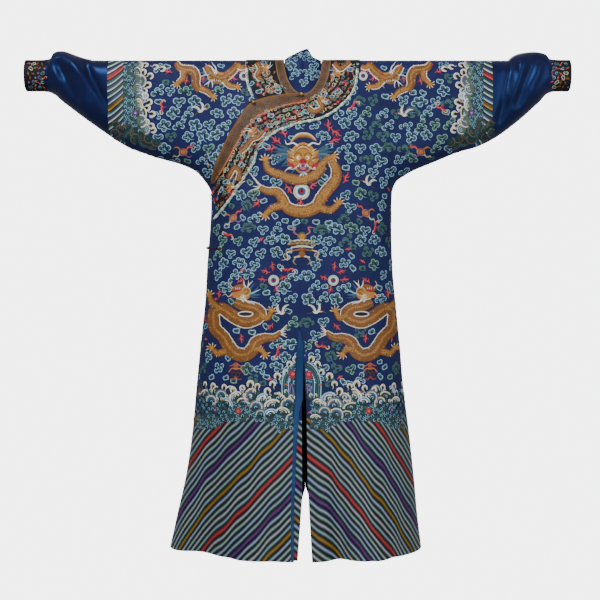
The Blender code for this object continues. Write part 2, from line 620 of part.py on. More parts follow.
# Cords laid on the cloth: name, lift of what carries the cord, then x, z points
CORDS = (
    ("loop_neck", ON_TRIM, ((-0.0022, -0.1125), (-0.0070, -0.1140), (-0.0125, -0.1150))),
    ("loop_lapel", 0.0, ((-0.1325, -0.1275), (-0.1370, -0.1290), (-0.1420, -0.1320))),
    ("cord_underarm", -0.0008, ((-0.2515, -0.2915), (-0.2545, -0.2800), (-0.2560, -0.2700), (-0.2593, -0.2598))),
    ("loop_underarm", ON_TRIM, ((-0.2350, -0.3080), (-0.2270, -0.3190), (-0.2190, -0.3300), (-0.2119, -0.3422))),
    ("loop_side", 0.0, ((-0.2440, -0.5250), (-0.2250, -0.5275), (-0.2085, -0.5290))),
)
CORD_RADIUS = 0.0012


def make_buttons():
    """A ball on a short shank that stands square to the cloth."""
    for name, x, z, radius, carried in BUTTONS:
        foot = cloth_points(x, z, False, carried + 0.0004)
        out = Vector(cloth_points(x, z, False, 0.01) - cloth_points(x, z, False)).normalized()
        shank = radius * 0.35
        profile = [(0.0, 0.0), (shank, 0.0), (shank, radius * 0.30)]
        for step in range(1, 8):
            turn = math.pi * step / 8
            profile.append((radius * math.sin(turn), radius * (1.15 - math.cos(turn))))
        profile.append((0.0, radius * 2.15))
        mesh = bpy.data.meshes.new("button_" + name)
        mesh.from_pydata([(r, 0, h) for r, h in profile[::-1]],
                         [(i, i + 1) for i in range(len(profile) - 1)], [])
        ball = finish("button_" + name, mesh, "gilt brass", smooth=False)
        ball.location = Vector(foot)
        ball.rotation_mode = "QUATERNION"
        ball.rotation_quaternion = Vector((0, 0, 1)).rotation_difference(out)
        turned = ball.modifiers.new("turned", "SCREW")
        turned.steps = 12
        turned.render_steps = 12
        turned.use_merge_vertices = True
        turned.merge_threshold = 1e-5
        turned.use_smooth_shade = True


def make_cords():
    for name, carried, route in CORDS:
        lift = carried + SEAM_GAP + CORD_RADIUS
        cord(name, [cloth_points(x, z, False, lift) for x, z in smooth_curve(route, 4)])


def cord(name, points):
    curve = bpy.data.curves.new(name, "CURVE")
    curve.dimensions = "3D"
    curve.bevel_depth = CORD_RADIUS
    curve.bevel_resolution = 1
    curve.use_fill_caps = True
    line = curve.splines.new("POLY")
    line.points.add(len(points) - 1)
    for target, point in zip(line.points, points):
        target.co = (*point, 1.0)
    rgba, roughness, metallic = COLOURS["brown brocade"]
    material = bpy.data.materials.new(name + " cord")
    material.use_nodes = True
    shader = material.node_tree.nodes["Principled BSDF"]
    shader.inputs["Base Color"].default_value = rgba
    shader.inputs["Roughness"].default_value = roughness
    shader.inputs["Metallic"].default_value = metallic
    curve.materials.append(material)
    piece = bpy.data.objects.new(name, curve)
    robe.objects.link(piece)


for old in list(bpy.data.objects):
    bpy.data.objects.remove(old)
robe = bpy.data.collections.new("chinese_dragon_robe")
bpy.context.scene.collection.children.link(robe)
make_panels()
make_overlap()
make_sleeves()
make_neck_trims()
make_collar_band()
make_neck_flap()
make_slit_facing()
make_buttons()
make_cords()
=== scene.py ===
"""Visible model of the dragon robe: fine cloth shells on the robe's form, with raised embroidery."""
import math

import bmesh
import bpy
import numpy as np
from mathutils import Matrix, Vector


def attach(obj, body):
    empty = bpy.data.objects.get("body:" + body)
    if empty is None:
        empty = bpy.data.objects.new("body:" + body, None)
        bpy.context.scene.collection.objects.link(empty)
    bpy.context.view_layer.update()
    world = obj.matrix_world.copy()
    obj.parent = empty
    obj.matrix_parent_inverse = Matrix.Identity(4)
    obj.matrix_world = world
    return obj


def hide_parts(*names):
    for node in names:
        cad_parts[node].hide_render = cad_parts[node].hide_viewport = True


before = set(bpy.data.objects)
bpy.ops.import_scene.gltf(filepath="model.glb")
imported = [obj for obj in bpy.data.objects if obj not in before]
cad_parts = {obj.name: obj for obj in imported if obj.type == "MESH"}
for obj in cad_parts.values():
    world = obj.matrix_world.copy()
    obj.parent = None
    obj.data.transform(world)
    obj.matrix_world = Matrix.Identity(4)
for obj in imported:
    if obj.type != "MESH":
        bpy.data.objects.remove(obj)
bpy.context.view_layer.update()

# Thicknesses and gaps
WALL = 0.0018            # main cloth
BAND_WALL = 0.0013       # collar band and trims
SEAM_GAP = 0.0004        # between the edges of two pieces
LAY_GAP = 0.0009         # under a strip that lies on a panel
ON_TRIM = LAY_GAP + BAND_WALL + 0.0002    # the outer face of a strip
LAYER_STEP = WALL + 0.0007   # from the outer front to the inner front

# Landmarks
ARMPIT_Z = -0.367
HEM_Z = -1.355
SLIT_TOP_Z = -0.746
SLEEVE_SEAM_X = 0.530    # one loom width from the middle
CUFF_SEAM_X = 0.705
CUFF_END_X = {-1: 0.765, 1: 0.752}

# Neck opening and the rings round it: middle, half width, drop in front, drop behind
NECK_X = 0.0084
NECK_CUT = (0.062, 0.1145, 0.022)
TRIM_INNER = (0.053, 0.1065, 0.016)
TRIM_OUTER = (0.0765, 0.1320, 0.040)
BAND_OUTER = (0.158, 0.1918, 0.118)

# Lower outline from the cuff along the underarm and down the side: z, -X side, +X side
LOWER_EDGE = (
    (-0.0850, 0.800, 0.800), (-0.0865, 0.705, 0.705), (-0.1180, 0.659, 0.6667),
    (-0.1650, 0.5963, 0.6142), (-0.2130, 0.528, 0.550), (-0.2410, 0.4824, 0.4935),
    (-0.2560, 0.443, 0.4385), (-0.2720, 0.397, 0.4016), (-0.2880, 0.3385, 0.3627),
    (-0.3020, 0.304, 0.328), (-0.3150, 0.2845, 0.302), (-0.3350, 0.2675, 0.272),
    (-0.3520, 0.2556, 0.2615), (-0.3670, 0.2485, 0.2575), (-0.4500, 0.250, 0.2553),
    (-0.5700, 0.2593, 0.2582), (-0.6700, 0.2646, 0.2665), (-0.8000, 0.2785, 0.2795),
    (-0.9100, 0.2892, 0.2886), (-1.0400, 0.301, 0.305), (-1.1600, 0.319, 0.318),
    (-1.2700, 0.3435, 0.328), (-1.3550, 0.3626, 0.3385), (-1.4500, 0.386, 0.350),
)
# Upper outline of the sleeves: distance from the middle, -X side, +X side
TOP_EDGE = (
    (0.000, 0.0, 0.0), (0.530, 0.0, 0.0), (0.575, 0.002, 0.0015), (0.600, 0.006, 0.016),
    (0.630, 0.016, 0.0225), (0.660, 0.026, 0.0235), (0.685, 0.0225, 0.0175),
    (0.705, 0.0035, 0.0035), (0.800, 0.0030, 0.0030),
)
# Half depth of the body by height: z, front, back
BODY_DEPTH = (
    (0.00, 0.056, 0.056), (-0.10, 0.074, 0.082), (-0.20, 0.098, 0.102), (-0.30, 0.113, 0.108),
    (-0.40, 0.121, 0.107), (-0.55, 0.127, 0.108), (-0.75, 0.140, 0.126), (-0.95, 0.160, 0.150),
    (-1.15, 0.180, 0.176), (-1.355, 0.200, 0.200),
)
# Sleeve by distance from the middle: x, half depth, rounding of the lower edge, of the top edge
SLEEVE_FORM = (
    (0.25, 0.060, 0.120, 0.055), (0.53, 0.055, 0.105, 0.055), (0.60, 0.060, 0.090, 0.058),
    (0.66, 0.055, 0.070, 0.055), (0.69, 0.044, 0.052, 0.048), (0.705, 0.037, 0.0445, 0.0445),
    (0.80, 0.036, 0.0445, 0.0445),
)
ROUND_POWER = 2.4        # 2 is an ellipse, more is boxier

# Soft folds of the skirt, as shares of the half width and of the depth:
# face, place at the hem, place at the top, top z, width, hollow (minus stands out)
FLUTES = (
    ("front", -0.76, -0.82, -0.80, 0.190, 0.44), ("front", -0.52, -0.44, -0.96, 0.050, 0.07),
    ("front", -0.20, -0.20, -1.10, 0.060, 0.035), ("front", 0.31, 0.33, -0.98, 0.085, 0.17),
    ("front", 0.60, 0.52, -0.92, 0.120, -0.14), ("front", 0.56, 0.50, -1.00, 0.035, 0.05),
    ("front", 0.73, 0.69, -1.15, 0.035, 0.05), ("back", -0.66, -0.60, -0.90, 0.090, 0.13),
    ("back", -0.30, -0.26, -1.00, 0.080, 0.10), ("back", 0.24, 0.22, -0.95, 0.075, 0.12),
    ("back", 0.58, 0.55, -0.85, 0.110, 0.12),
)
# Bunched folds of the satin sleeves: side, x and z of each end, width, hollow
SATIN_FOLDS = (
    (-1, 0.597, -0.012, 0.525, -0.145, 0.012, 0.16), (-1, 0.668, -0.020, 0.612, -0.110, 0.013, 0.15),
    (-1, 0.640, 0.010, 0.575, -0.090, 0.014, -0.12), (1, 0.584, -0.010, 0.552, -0.170, 0.012, 0.16),
    (1, 0.650, -0.005, 0.600, -0.125, 0.013, 0.15), (1, 0.620, 0.010, 0.575, -0.110, 0.014, -0.12),
)
# Edges beside the front slit: z, facing's left edge, facing's right edge, left panel's edge
SLIT_EDGES = (
    (-0.746, -0.0030, -0.0008, 0.0002), (-0.788, -0.0055, 0.0090, 0.0100),
    (-0.830, -0.0090, 0.0095, 0.0104), (-0.893, -0.0106, 0.0080, 0.0130),
    (-0.933, -0.0112, 0.0070, 0.0158), (-0.965, -0.0158, -0.0020, 0.0172),
    (-1.040, -0.0185, -0.0079, 0.0185), (-1.144, -0.0211, -0.0124, 0.0200),
    (-1.192, -0.0228, -0.0145, 0.0224), (-1.223, -0.0238, -0.0158, 0.0240),
    (-1.355, -0.0240, -0.0160, 0.0317),
)
# Edges of the back vent, tacked shut at the top: z, right back, left back
VENT_EDGES = (
    (-0.746, -0.0002, 0.0002), (-1.165, 0.0098, 0.0102), (-1.225, 0.0163, 0.0167),
    (-1.262, 0.0060, 0.0300), (-1.355, 0.0000, 0.0420),
)
# Free edge of the inner front: z, x
UNDERLAP_EDGE = ((-0.14, -0.006), (-0.70, -0.004), (-0.90, 0.0045), (-1.19, 0.0060), (-1.35, -0.0060))
# Lapel from the neck to the underarm: x and z of the free edge, x and z of the trim's other edge
LAPEL = (
    (0.0078, -0.1065, 0.0078, -0.1320), (-0.0195, -0.1070, -0.0175, -0.1346),
    (-0.0429, -0.1083, -0.0389, -0.1397), (-0.0838, -0.1157, -0.0757, -0.1524),
    (-0.1227, -0.1275, -0.1048, -0.1654), (-0.1431, -0.1413, -0.1198, -0.1752),
    (-0.1635, -0.1718, -0.1387, -0.1965), (-0.1879, -0.2103, -0.1612, -0.2272),
    (-0.2096, -0.2507, -0.1828, -0.2646), (-0.2277, -0.2879, -0.2047, -0.3025),
    (-0.2396, -0.3243, -0.2265, -0.3337), (-0.2475, -0.3653, -0.2292, -0.3385),
)
# Outer edge of the collar band below the neck and along the lapel: x, z
BAND_LAPEL_EDGE = (
    (0.0230, -0.1850), (-0.0029, -0.1898), (-0.0416, -0.2038), (-0.0676, -0.2158),
    (-0.0927, -0.2334), (-0.1121, -0.2565), (-0.1198, -0.2836), (-0.1353, -0.3142),
    (-0.1589, -0.3484), (-0.1906, -0.3938), (-0.2214, -0.4289), (-0.2265, -0.4340),
)
BAND_CORNER = (0.0465, -0.1798)    # where the band leaves the neck ring for the lapel
# Neck corner of the inner front: x, z of its top edge, and its side edges: z, -X, +X
FLAP_TOP = ((-0.0425, 0.0010), (-0.0300, 0.0080), (-0.0060, 0.0190), (0.0180, 0.0295), (0.0270, 0.0200),
            (0.0370, 0.0060), (0.0590, -0.0020))
FLAP_SIDES = ((-0.012, -0.0425, 0.0590), (-0.060, -0.0540, 0.0680), (-0.128, -0.0600, 0.0700))
# Angles at which the right ends of the neck rings are cut along the lapel: inner, outer
TRIM_END = ((0.60, 0.77), (0.36, 0.69), (0.14, 0.64))
BAND_END = ((0.95, 1.00), (0.82, 0.95), (0.66, 0.885))
# Angles where the cut ends pass into the whole ring, where the band leaves it, and of its corner
TRIM_TURN, BAND_TURNS, CORNER_TURN = 0.873, (1.124, 0.391), 0.2025
SHARES_LEVEL = (-0.16, -0.35)     # z between which the columns close up towards the side
TOP_ROUND = 0.055                 # depth over which the shoulder line is rounded
# Where the body's form passes into the sleeve's: heights, then distances for depth and rounding
ARM_LEVELS, ARM_REACH, ARM_ROUND_REACH = (ARMPIT_Z - 0.04, ARMPIT_Z + 0.18), (0.08, 0.30), (0.12, 0.30)
FAR = 1e9                # more than any distance

# Creases, listed one by one: face, half width, height (minus is a trough), x and z points
CREASES = (
    ("front", 0.016, -0.0030, ((0.235, -0.330), (0.205, -0.270), (0.190, -0.200), (0.200, -0.130))),
    ("front", 0.014, 0.0022, ((0.262, -0.300), (0.240, -0.230), (0.245, -0.150))),
    ("front", 0.015, -0.0026, ((0.300, -0.270), (0.330, -0.200), (0.370, -0.120))),
    ("front", 0.015, -0.0028, ((-0.240, -0.330), (-0.215, -0.290), (-0.205, -0.230))),
    ("front", 0.015, 0.0022, ((-0.290, -0.270), (-0.310, -0.200), (-0.350, -0.110))),
    ("front", 0.014, -0.0024, ((-0.330, -0.250), (-0.370, -0.180), (-0.400, -0.090))),
    ("front", 0.007, -0.0042, ((-0.596, 0.004), (-0.577, -0.056), (-0.554, -0.095), (-0.526, -0.148))),
    ("front", 0.022, 0.0040, ((-0.650, -0.040), (-0.625, -0.090), (-0.580, -0.130))),
    ("front", 0.012, -0.0034, ((-0.670, 0.010), (-0.650, -0.060), (-0.600, -0.140))),
    ("front", 0.007, -0.0040, ((0.582, -0.004), (0.594, -0.048), (0.575, -0.110), (0.552, -0.171))),
    ("front", 0.020, 0.0036, ((0.640, 0.000), (0.650, -0.050), (0.610, -0.110))),
    ("front", 0.012, -0.0034, ((0.665, 0.020), (0.672, -0.040), (0.640, -0.100))),
    ("front", 0.018, -0.0024, ((0.120, -0.520), (0.105, -0.640), (0.115, -0.760))),
    ("front", 0.020, 0.0020, ((-0.130, -0.560), (-0.120, -0.700), (-0.135, -0.850))),
    ("front", 0.013, -0.0085, ((0.098, -1.060), (0.101, -1.125), (0.103, -1.240), (0.116, -1.375))),
    ("front", 0.014, -0.0080,
     ((0.130, -0.960), (0.148, -1.050), (0.164, -1.125), (0.180, -1.260), (0.190, -1.375))),
    ("front", 0.012, -0.0068, ((0.222, -1.170), (0.230, -1.250), (0.243, -1.375))),
    ("front", 0.014, -0.0085, ((-0.140, -1.020), (-0.146, -1.085), (-0.170, -1.260), (-0.196, -1.375))),
    ("front", 0.014, -0.0060, ((-0.070, -1.160), (-0.070, -1.240), (-0.068, -1.375))),
    ("front", 0.011, -0.0065, ((-0.315, -1.220), (-0.318, -1.290), (-0.328, -1.360))),
    ("front", 0.018, 0.0045, ((-0.110, -1.080), (-0.118, -1.220), (-0.130, -1.375))),
    ("front", 0.015, 0.0045, ((0.128, -1.080), (0.140, -1.220), (0.152, -1.375))),
    ("back", 0.016, -0.0028, ((0.240, -0.330), (0.210, -0.270), (0.190, -0.190), (0.200, -0.110))),
    ("back", 0.016, -0.0028, ((-0.235, -0.330), (-0.200, -0.260), (-0.195, -0.190), (-0.205, -0.120))),
    ("back", 0.015, 0.0022, ((0.300, -0.270), (0.325, -0.200), (0.360, -0.110))),
    ("back", 0.015, 0.0022, ((-0.300, -0.270), (-0.330, -0.190), (-0.360, -0.110))),
    ("back", 0.020, -0.0024, ((-0.110, -0.500), (-0.100, -0.640), (-0.120, -0.780))),
    ("back", 0.020, 0.0022, ((0.100, -0.480), (0.090, -0.620), (0.105, -0.760))),
    ("back", 0.014, -0.0080, ((0.110, -1.020), (0.118, -1.150), (0.130, -1.375))),
    ("back", 0.014, -0.0070, ((0.205, -1.100), (0.220, -1.240), (0.238, -1.375))),
    ("back", 0.014, -0.0080, ((-0.120, -1.060), (-0.132, -1.180), (-0.150, -1.375))),
    ("back", 0.014, -0.0065, ((-0.220, -1.150), (-0.238, -1.260), (-0.255, -1.375))),
)


def smoothstep(value, low, high):
    """0 below low, 1 above high and an even ease between; low may be the greater."""
    share = np.clip((np.asarray(value, float) - low) / (high - low), 0.0, 1.0)
    return share * share * (3.0 - 2.0 * share)


def smooth_curve(points, steps=6):
    """Points along a smooth curve through the given ones."""
    given = np.array(points, float)
    padded = np.vstack([2 * given[0] - given[1], given, 2 * given[-1] - given[-2]])
    curve = []
    for first, second, third, fourth in zip(padded, padded[1:], padded[2:], padded[3:]):
        for share in np.arange(steps) / steps:
            bend = 2 * first - 5 * second + 4 * third - fourth
            turn = 3 * second - first - 3 * third + fourth
            curve.append(second + 0.5 * share * ((third - first) + share * (bend + share * turn)))
    curve.append(given[-1])
    return np.array(curve)


def headings(path):
    """Unit directions along a path."""
    ahead = np.gradient(path, axis=0)
    return ahead / np.maximum(np.linalg.norm(ahead, axis=1, keepdims=True), 1e-9)


def beside(path):
    """Unit directions to the left of a flat path."""
    ahead = headings(path)
    return np.stack([-ahead[:, 1], ahead[:, 0]], -1)


def ways_along(path):
    """How far along a path each of its points is."""
    return np.concatenate([[0], np.cumsum(np.linalg.norm(np.diff(path, axis=0), axis=1))])


def falling(table, column, z):
    """A table's column at height z, where the first column is z and falls."""
    rows = np.array(table, float)
    return np.interp(-np.asarray(z, float), -rows[:, 0], rows[:, column])


EDGE_CURVE = smooth_curve(LOWER_EDGE)
EDGE_CURVE[:, 0] = np.minimum.accumulate(EDGE_CURVE[:, 0])
LAPEL_CURVE = smooth_curve(LAPEL)
TOP_CURVE = smooth_curve(TOP_EDGE)
DEPTH_CURVE = smooth_curve(BODY_DEPTH)
SLEEVE_CURVE = smooth_curve(SLEEVE_FORM)
SIDE_COLUMN = {-1: 1, 1: 2}


def side_x(side, z):
    """Distance from the middle to the outline at height z."""
    return np.interp(-np.asarray(z, float), -EDGE_CURVE[:, 0], EDGE_CURVE[:, SIDE_COLUMN[side]])


def sleeve_bottom_z(side, distance):
    """Height of the sleeve's lower outline at a distance from the middle."""
    arm = EDGE_CURVE[EDGE_CURVE[:, 0] > ARMPIT_Z - 1e-6]
    return np.interp(distance, arm[::-1, SIDE_COLUMN[side]], arm[::-1, 0])


def sleeve_top_z(side, distance):
    """Height of the upper outline at a distance from the middle."""
    return np.interp(distance, TOP_CURVE[:, 0], TOP_CURVE[:, SIDE_COLUMN[side]])


def segment_gap(x, z, start, end):
    """Distance to a straight stretch, and the share of its length where the nearest point is."""
    (ax, az), (bx, bz) = start, end
    length = (bx - ax) ** 2 + (bz - az) ** 2
    share = np.clip(((x - ax) * (bx - ax) + (z - az) * (bz - az)) / length, 0, 1)
    return np.hypot(x - ax - share * (bx - ax), z - az - share * (bz - az)), share


def path_gap(x, z, path):
    """Distance to a polyline, and how far along it the nearest point is, from 0 to 1."""
    nearest = np.full(np.shape(x), FAR)
    along = np.zeros(np.shape(x))
    count = len(path) - 1
    for number in range(count):
        gap, share = segment_gap(x, z, path[number], path[number + 1])
        closer = gap < nearest
        nearest = np.where(closer, gap, nearest)
        along = np.where(closer, (number + share) / count, along)
    return nearest, along


def edge_distance(side, distance, z):
    """Shortest way from each place to the lower outline of its side; minus outside it."""
    shortest = path_gap(distance, z, EDGE_CURVE[:, (SIDE_COLUMN[side], 0)])[0]
    return np.where(distance > side_x(side, z), -shortest, shortest)


def fold_share(side, x, z, back):
    """How much the folds deepen or draw in the form, as a share of its depth."""
    distance = np.abs(x)
    across = x / side_x(side, np.minimum(z, ARMPIT_Z))
    total = np.zeros(np.shape(z))
    for face, hem_place, top_place, top_z, width, hollow in FLUTES:
        if (face == "back") == back:
            down = np.clip((top_z - z) / (top_z - HEM_Z), 0, 1)
            place = top_place + (hem_place - top_place) * down
            total -= hollow * down ** 1.3 * np.exp(-((across - place) / width) ** 2)
    for fold_side, ax, az, bx, bz, width, hollow in SATIN_FOLDS:
        if fold_side == side:
            gap, _ = segment_gap(distance, z, (ax, az), (bx, bz))
            total -= hollow * np.exp(-(gap / width) ** 2)
    return total


def half_depth_squared(x, z, back):
    """Square of the form's half depth; below 0 outside its outline."""
    x, z = np.broadcast_arrays(np.asarray(x, float), np.asarray(z, float))
    result = np.zeros(x.shape)
    for side in (-1, 1):
        here = (x >= 0) if side == 1 else (x < 0)
        if here.any():
            result[here] = side_depth_squared(side, x[here], z[here], back)
    return result


def side_depth_squared(side, x, z, back):
    """The same for places on one side of the middle."""
    distance = np.abs(x)
    arm_depth, arm_round, top_round = (
        np.interp(distance, SLEEVE_CURVE[:, 0], SLEEVE_CURVE[:, column]) for column in (1, 2, 3))
    above_armpit = smoothstep(z, *ARM_LEVELS)
    as_sleeve = smoothstep(distance, *ARM_REACH) * above_armpit
    body_depth = falling(DEPTH_CURVE, 2 if back else 1, z)
    depth = body_depth + (arm_depth - body_depth) * as_sleeve
    depth = depth * (1 + fold_share(side, x, z, back))
    body_round = side_x(side, np.minimum(z, ARMPIT_Z))
    closing = smoothstep(distance, *ARM_ROUND_REACH)
    edge_round = body_round + (arm_round - body_round) * closing * above_armpit
    below_top = sleeve_top_z(side, distance) - z
    from_top = np.minimum(below_top / top_round, 1)
    from_edge = np.minimum(edge_distance(side, distance, z) / edge_round, 1)
    rounding = (1 - (1 - from_top) ** ROUND_POWER) * (1 - (1 - from_edge) ** ROUND_POWER)
    return depth ** 2 * rounding


# ---- Sampled form: half depth squared and its slopes on a regular grid, for the embroidery ----

GRID = 0.0025
GRID_X = np.arange(-0.80, 0.8001, GRID)
GRID_Z = np.arange(-1.40, 0.0401, GRID)


def crease_field(x, z, back):
    """How far the creases move the cloth out of its smooth form."""
    total = np.zeros(np.shape(x))
    for face, width, height, path in CREASES:
        if (face == "back") != back:
            continue
        points = np.array(path)
        (low_x, low_z), (high_x, high_z) = points.min(0) - 3 * width, points.max(0) + 3 * width
        near = (x > low_x) & (x < high_x) & (z > low_z) & (z < high_z)
        if not near.any():
            continue
        gap, along = path_gap(x[near], z[near], smooth_curve(path, 4))
        faded_end = 0.8 if path[-1][1] > HEM_Z + 0.01 else 1.2
        fade = smoothstep(along, 0.0, 0.25) * smoothstep(along, 1.0, faded_end)
        total[near] += height * fade * np.exp(-(gap / width) ** 2)
    return total


def between(table, i, j):
    """Values between a table's rows and columns."""
    i = np.clip(i, 0, table.shape[0] - 1.001)
    j = np.clip(j, 0, table.shape[1] - 1.001)
    i0, j0 = i.astype(int), j.astype(int)
    a, b = i - i0, j - j0
    return ((table[i0, j0] * (1 - b) + table[i0, j0 + 1] * b) * (1 - a)
            + (table[i0 + 1, j0] * (1 - b) + table[i0 + 1, j0 + 1] * b) * a)


def sampled_form(back):
    """Half depth squared, its slopes along x and z, and the creases, on the grid."""
    x, z = np.meshgrid(GRID_X, GRID_Z, indexing="ij")
    squared = half_depth_squared(x, z, back)
    return (squared, *np.gradient(squared, GRID), crease_field(x, z, back))


FORM = {back: sampled_form(back) for back in (False, True)}
CREASE_TABLE = 3


def form_at(number, x, z, back):
    """One of the sampled tables at places of the front or the back."""
    i, j = (x - GRID_X[0]) / GRID, (z - GRID_Z[0]) / GRID
    return np.where(back, between(FORM[True][number], i, j), between(FORM[False][number], i, j))


def half_depth(x, z, back):
    return np.sqrt(np.maximum(form_at(0, x, z, back), 0))


def surface_frame(x, z, back):
    """Points of the creased cloth and the directions out of it, read from the grid."""
    _, slope_x, slope_z, crease = (form_at(number, x, z, back) for number in range(4))
    depth = half_depth(x, z, back)
    way = np.where(back, 1.0, -1.0)
    out = np.stack([-slope_x, 2 * way * depth, -slope_z], -1)
    out /= np.maximum(np.linalg.norm(out, axis=-1, keepdims=True), 1e-9)
    return np.stack([x, way * depth, z], -1) + out * crease[:, None], out


# ---- Flattened cloth: ways round the shoulder (v at each x) and round the body (u at each z) ----

V_STEP, U_STEP, U_Z_STEP = 0.0025, 0.004, 0.006
V_COUNT, U_HALF = 200, 150
U_LEVELS = np.arange(-0.10, -1.36, -U_Z_STEP)
SIDE_MARGIN = 0.004      # of bare cloth along the side seams
V_DEEPEST = -0.46        # z down to which the ways round the shoulder are tabled


def shoulder_table(back):
    """z at each grid x and at each way v down from the shoulder line."""
    steps = V_DEEPEST * np.linspace(0, 1, 260) ** 2
    x, z = np.meshgrid(GRID_X, steps, indexing="ij")
    depth = np.sqrt(np.maximum(half_depth_squared(x, z, back), 0))
    pace = np.hypot(np.diff(z, axis=1), np.diff(depth, axis=1))
    way = np.concatenate([np.zeros((len(GRID_X), 1)), np.cumsum(pace, axis=1)], axis=1)
    wanted = np.arange(V_COUNT) * V_STEP
    return np.array([np.interp(wanted, row, steps) for row in way])


def body_table(back):
    """x at each level and each way u round from the middle, and how far round the side is."""
    places, ends = [], []
    shares = 1 - (1 - np.linspace(0, 1, 160)) ** 2
    wanted = (np.arange(2 * U_HALF + 1) - U_HALF) * U_STEP
    for z in U_LEVELS:
        halves = []
        for side in (-1, 1):
            x = side * float(side_x(side, z)) * shares
            depth = np.sqrt(np.maximum(half_depth_squared(x, np.full(len(x), z), back), 0))
            halves.append((np.concatenate([[0], np.cumsum(np.hypot(np.diff(x), np.diff(depth)))]), x))
        (left_way, left_x), (right_way, right_x) = halves
        way = np.concatenate([-left_way[::-1], right_way[1:]])
        places.append(np.interp(wanted, way, np.concatenate([left_x[::-1], right_x[1:]])))
        ends.append((-left_way[-1], right_way[-1]))
    return np.array(places), np.array(ends)


SHOULDER = {back: shoulder_table(back) for back in (False, True)}
BODY = {back: body_table(back) for back in (False, True)}


def over_shoulder(x, v):
    """(x, z, back) of flattened places: v runs down the front from the shoulder line, minus behind."""
    back = v < 0
    i, j = (x - GRID_X[0]) / GRID, np.abs(v) / V_STEP
    return x, np.where(back, between(SHOULDER[True], i, j), between(SHOULDER[False], i, j)), back


def round_body(u, z, back):
    """(x, z, back) of flattened places, and whether each lies on the body at all."""
    table, ends = BODY[back]
    level = (U_LEVELS[0] - z) / U_Z_STEP
    x = between(table, level, u / U_STEP + U_HALF)
    low = np.interp(level, np.arange(len(ends)), ends[:, 0])
    high = np.interp(level, np.arange(len(ends)), ends[:, 1])
    return x, z, np.full(x.shape, back), (u > low + SIDE_MARGIN) & (u < high - SIDE_MARGIN)


def way_round(x, z, back):
    """u of a place on the body."""
    table = BODY[back][0]
    level = np.clip((U_LEVELS[0] - z) / U_Z_STEP, 0, len(table) - 1.001)
    row = table[int(level)] * (1 - level % 1) + table[int(level) + 1] * (level % 1)
    return float(np.interp(x, row, (np.arange(2 * U_HALF + 1) - U_HALF) * U_STEP))


def way_down(x, z, back):
    """v of a place, below 0 behind."""
    row = SHOULDER[back][int(round((x - GRID_X[0]) / GRID))]
    way = float(np.interp(-z, -row, np.arange(V_COUNT) * V_STEP))
    return -way if back else way


# ---- Cloth shells ----

def places_on(x, z, back, lift=0.0, seam=SEAM_GAP / 2):
    """Points of the creased cloth at places (x, z), moved out by lift; exact up to the outline."""
    x, z, back = np.broadcast_arrays(np.asarray(x, float), np.asarray(z, float), back)
    lift = np.broadcast_to(np.asarray(lift, float), x.shape)
    flat = [part.ravel() for part in (x, z, back, lift)]
    out = surface_frame(*flat[:3])[1]
    exact = np.where(flat[2], half_depth_squared(flat[0], flat[1], True),
                     half_depth_squared(flat[0], flat[1], False))
    way = np.where(flat[2], 1.0, -1.0)
    base = np.stack([flat[0], way * (np.sqrt(np.maximum(exact, 0)) + seam), flat[1]], -1)
    crease = form_at(CREASE_TABLE, *flat[:3])
    return (base + out * (flat[3] + crease)[:, None]).reshape(x.shape + (3,))


def linked(name, data):
    """A new object of the scene."""
    thing = bpy.data.objects.new(name, data)
    bpy.context.scene.collection.objects.link(thing)
    return thing


def face_outwards(mesh, weld=0.0):
    """Turns a mesh's faces outwards, after welding points closer than weld."""
    shell = bmesh.new()
    shell.from_mesh(mesh)
    if weld:
        bmesh.ops.remove_doubles(shell, verts=shell.verts, dist=weld)
    bmesh.ops.recalc_face_normals(shell, faces=shell.faces)
    shell.to_mesh(mesh)
    shell.free()


WELD = 2e-5              # outer points of a piece closer than this are one
SMOOTH_BELOW = math.radians(50)    # edges of cloth pieces that turn more than this are sharp


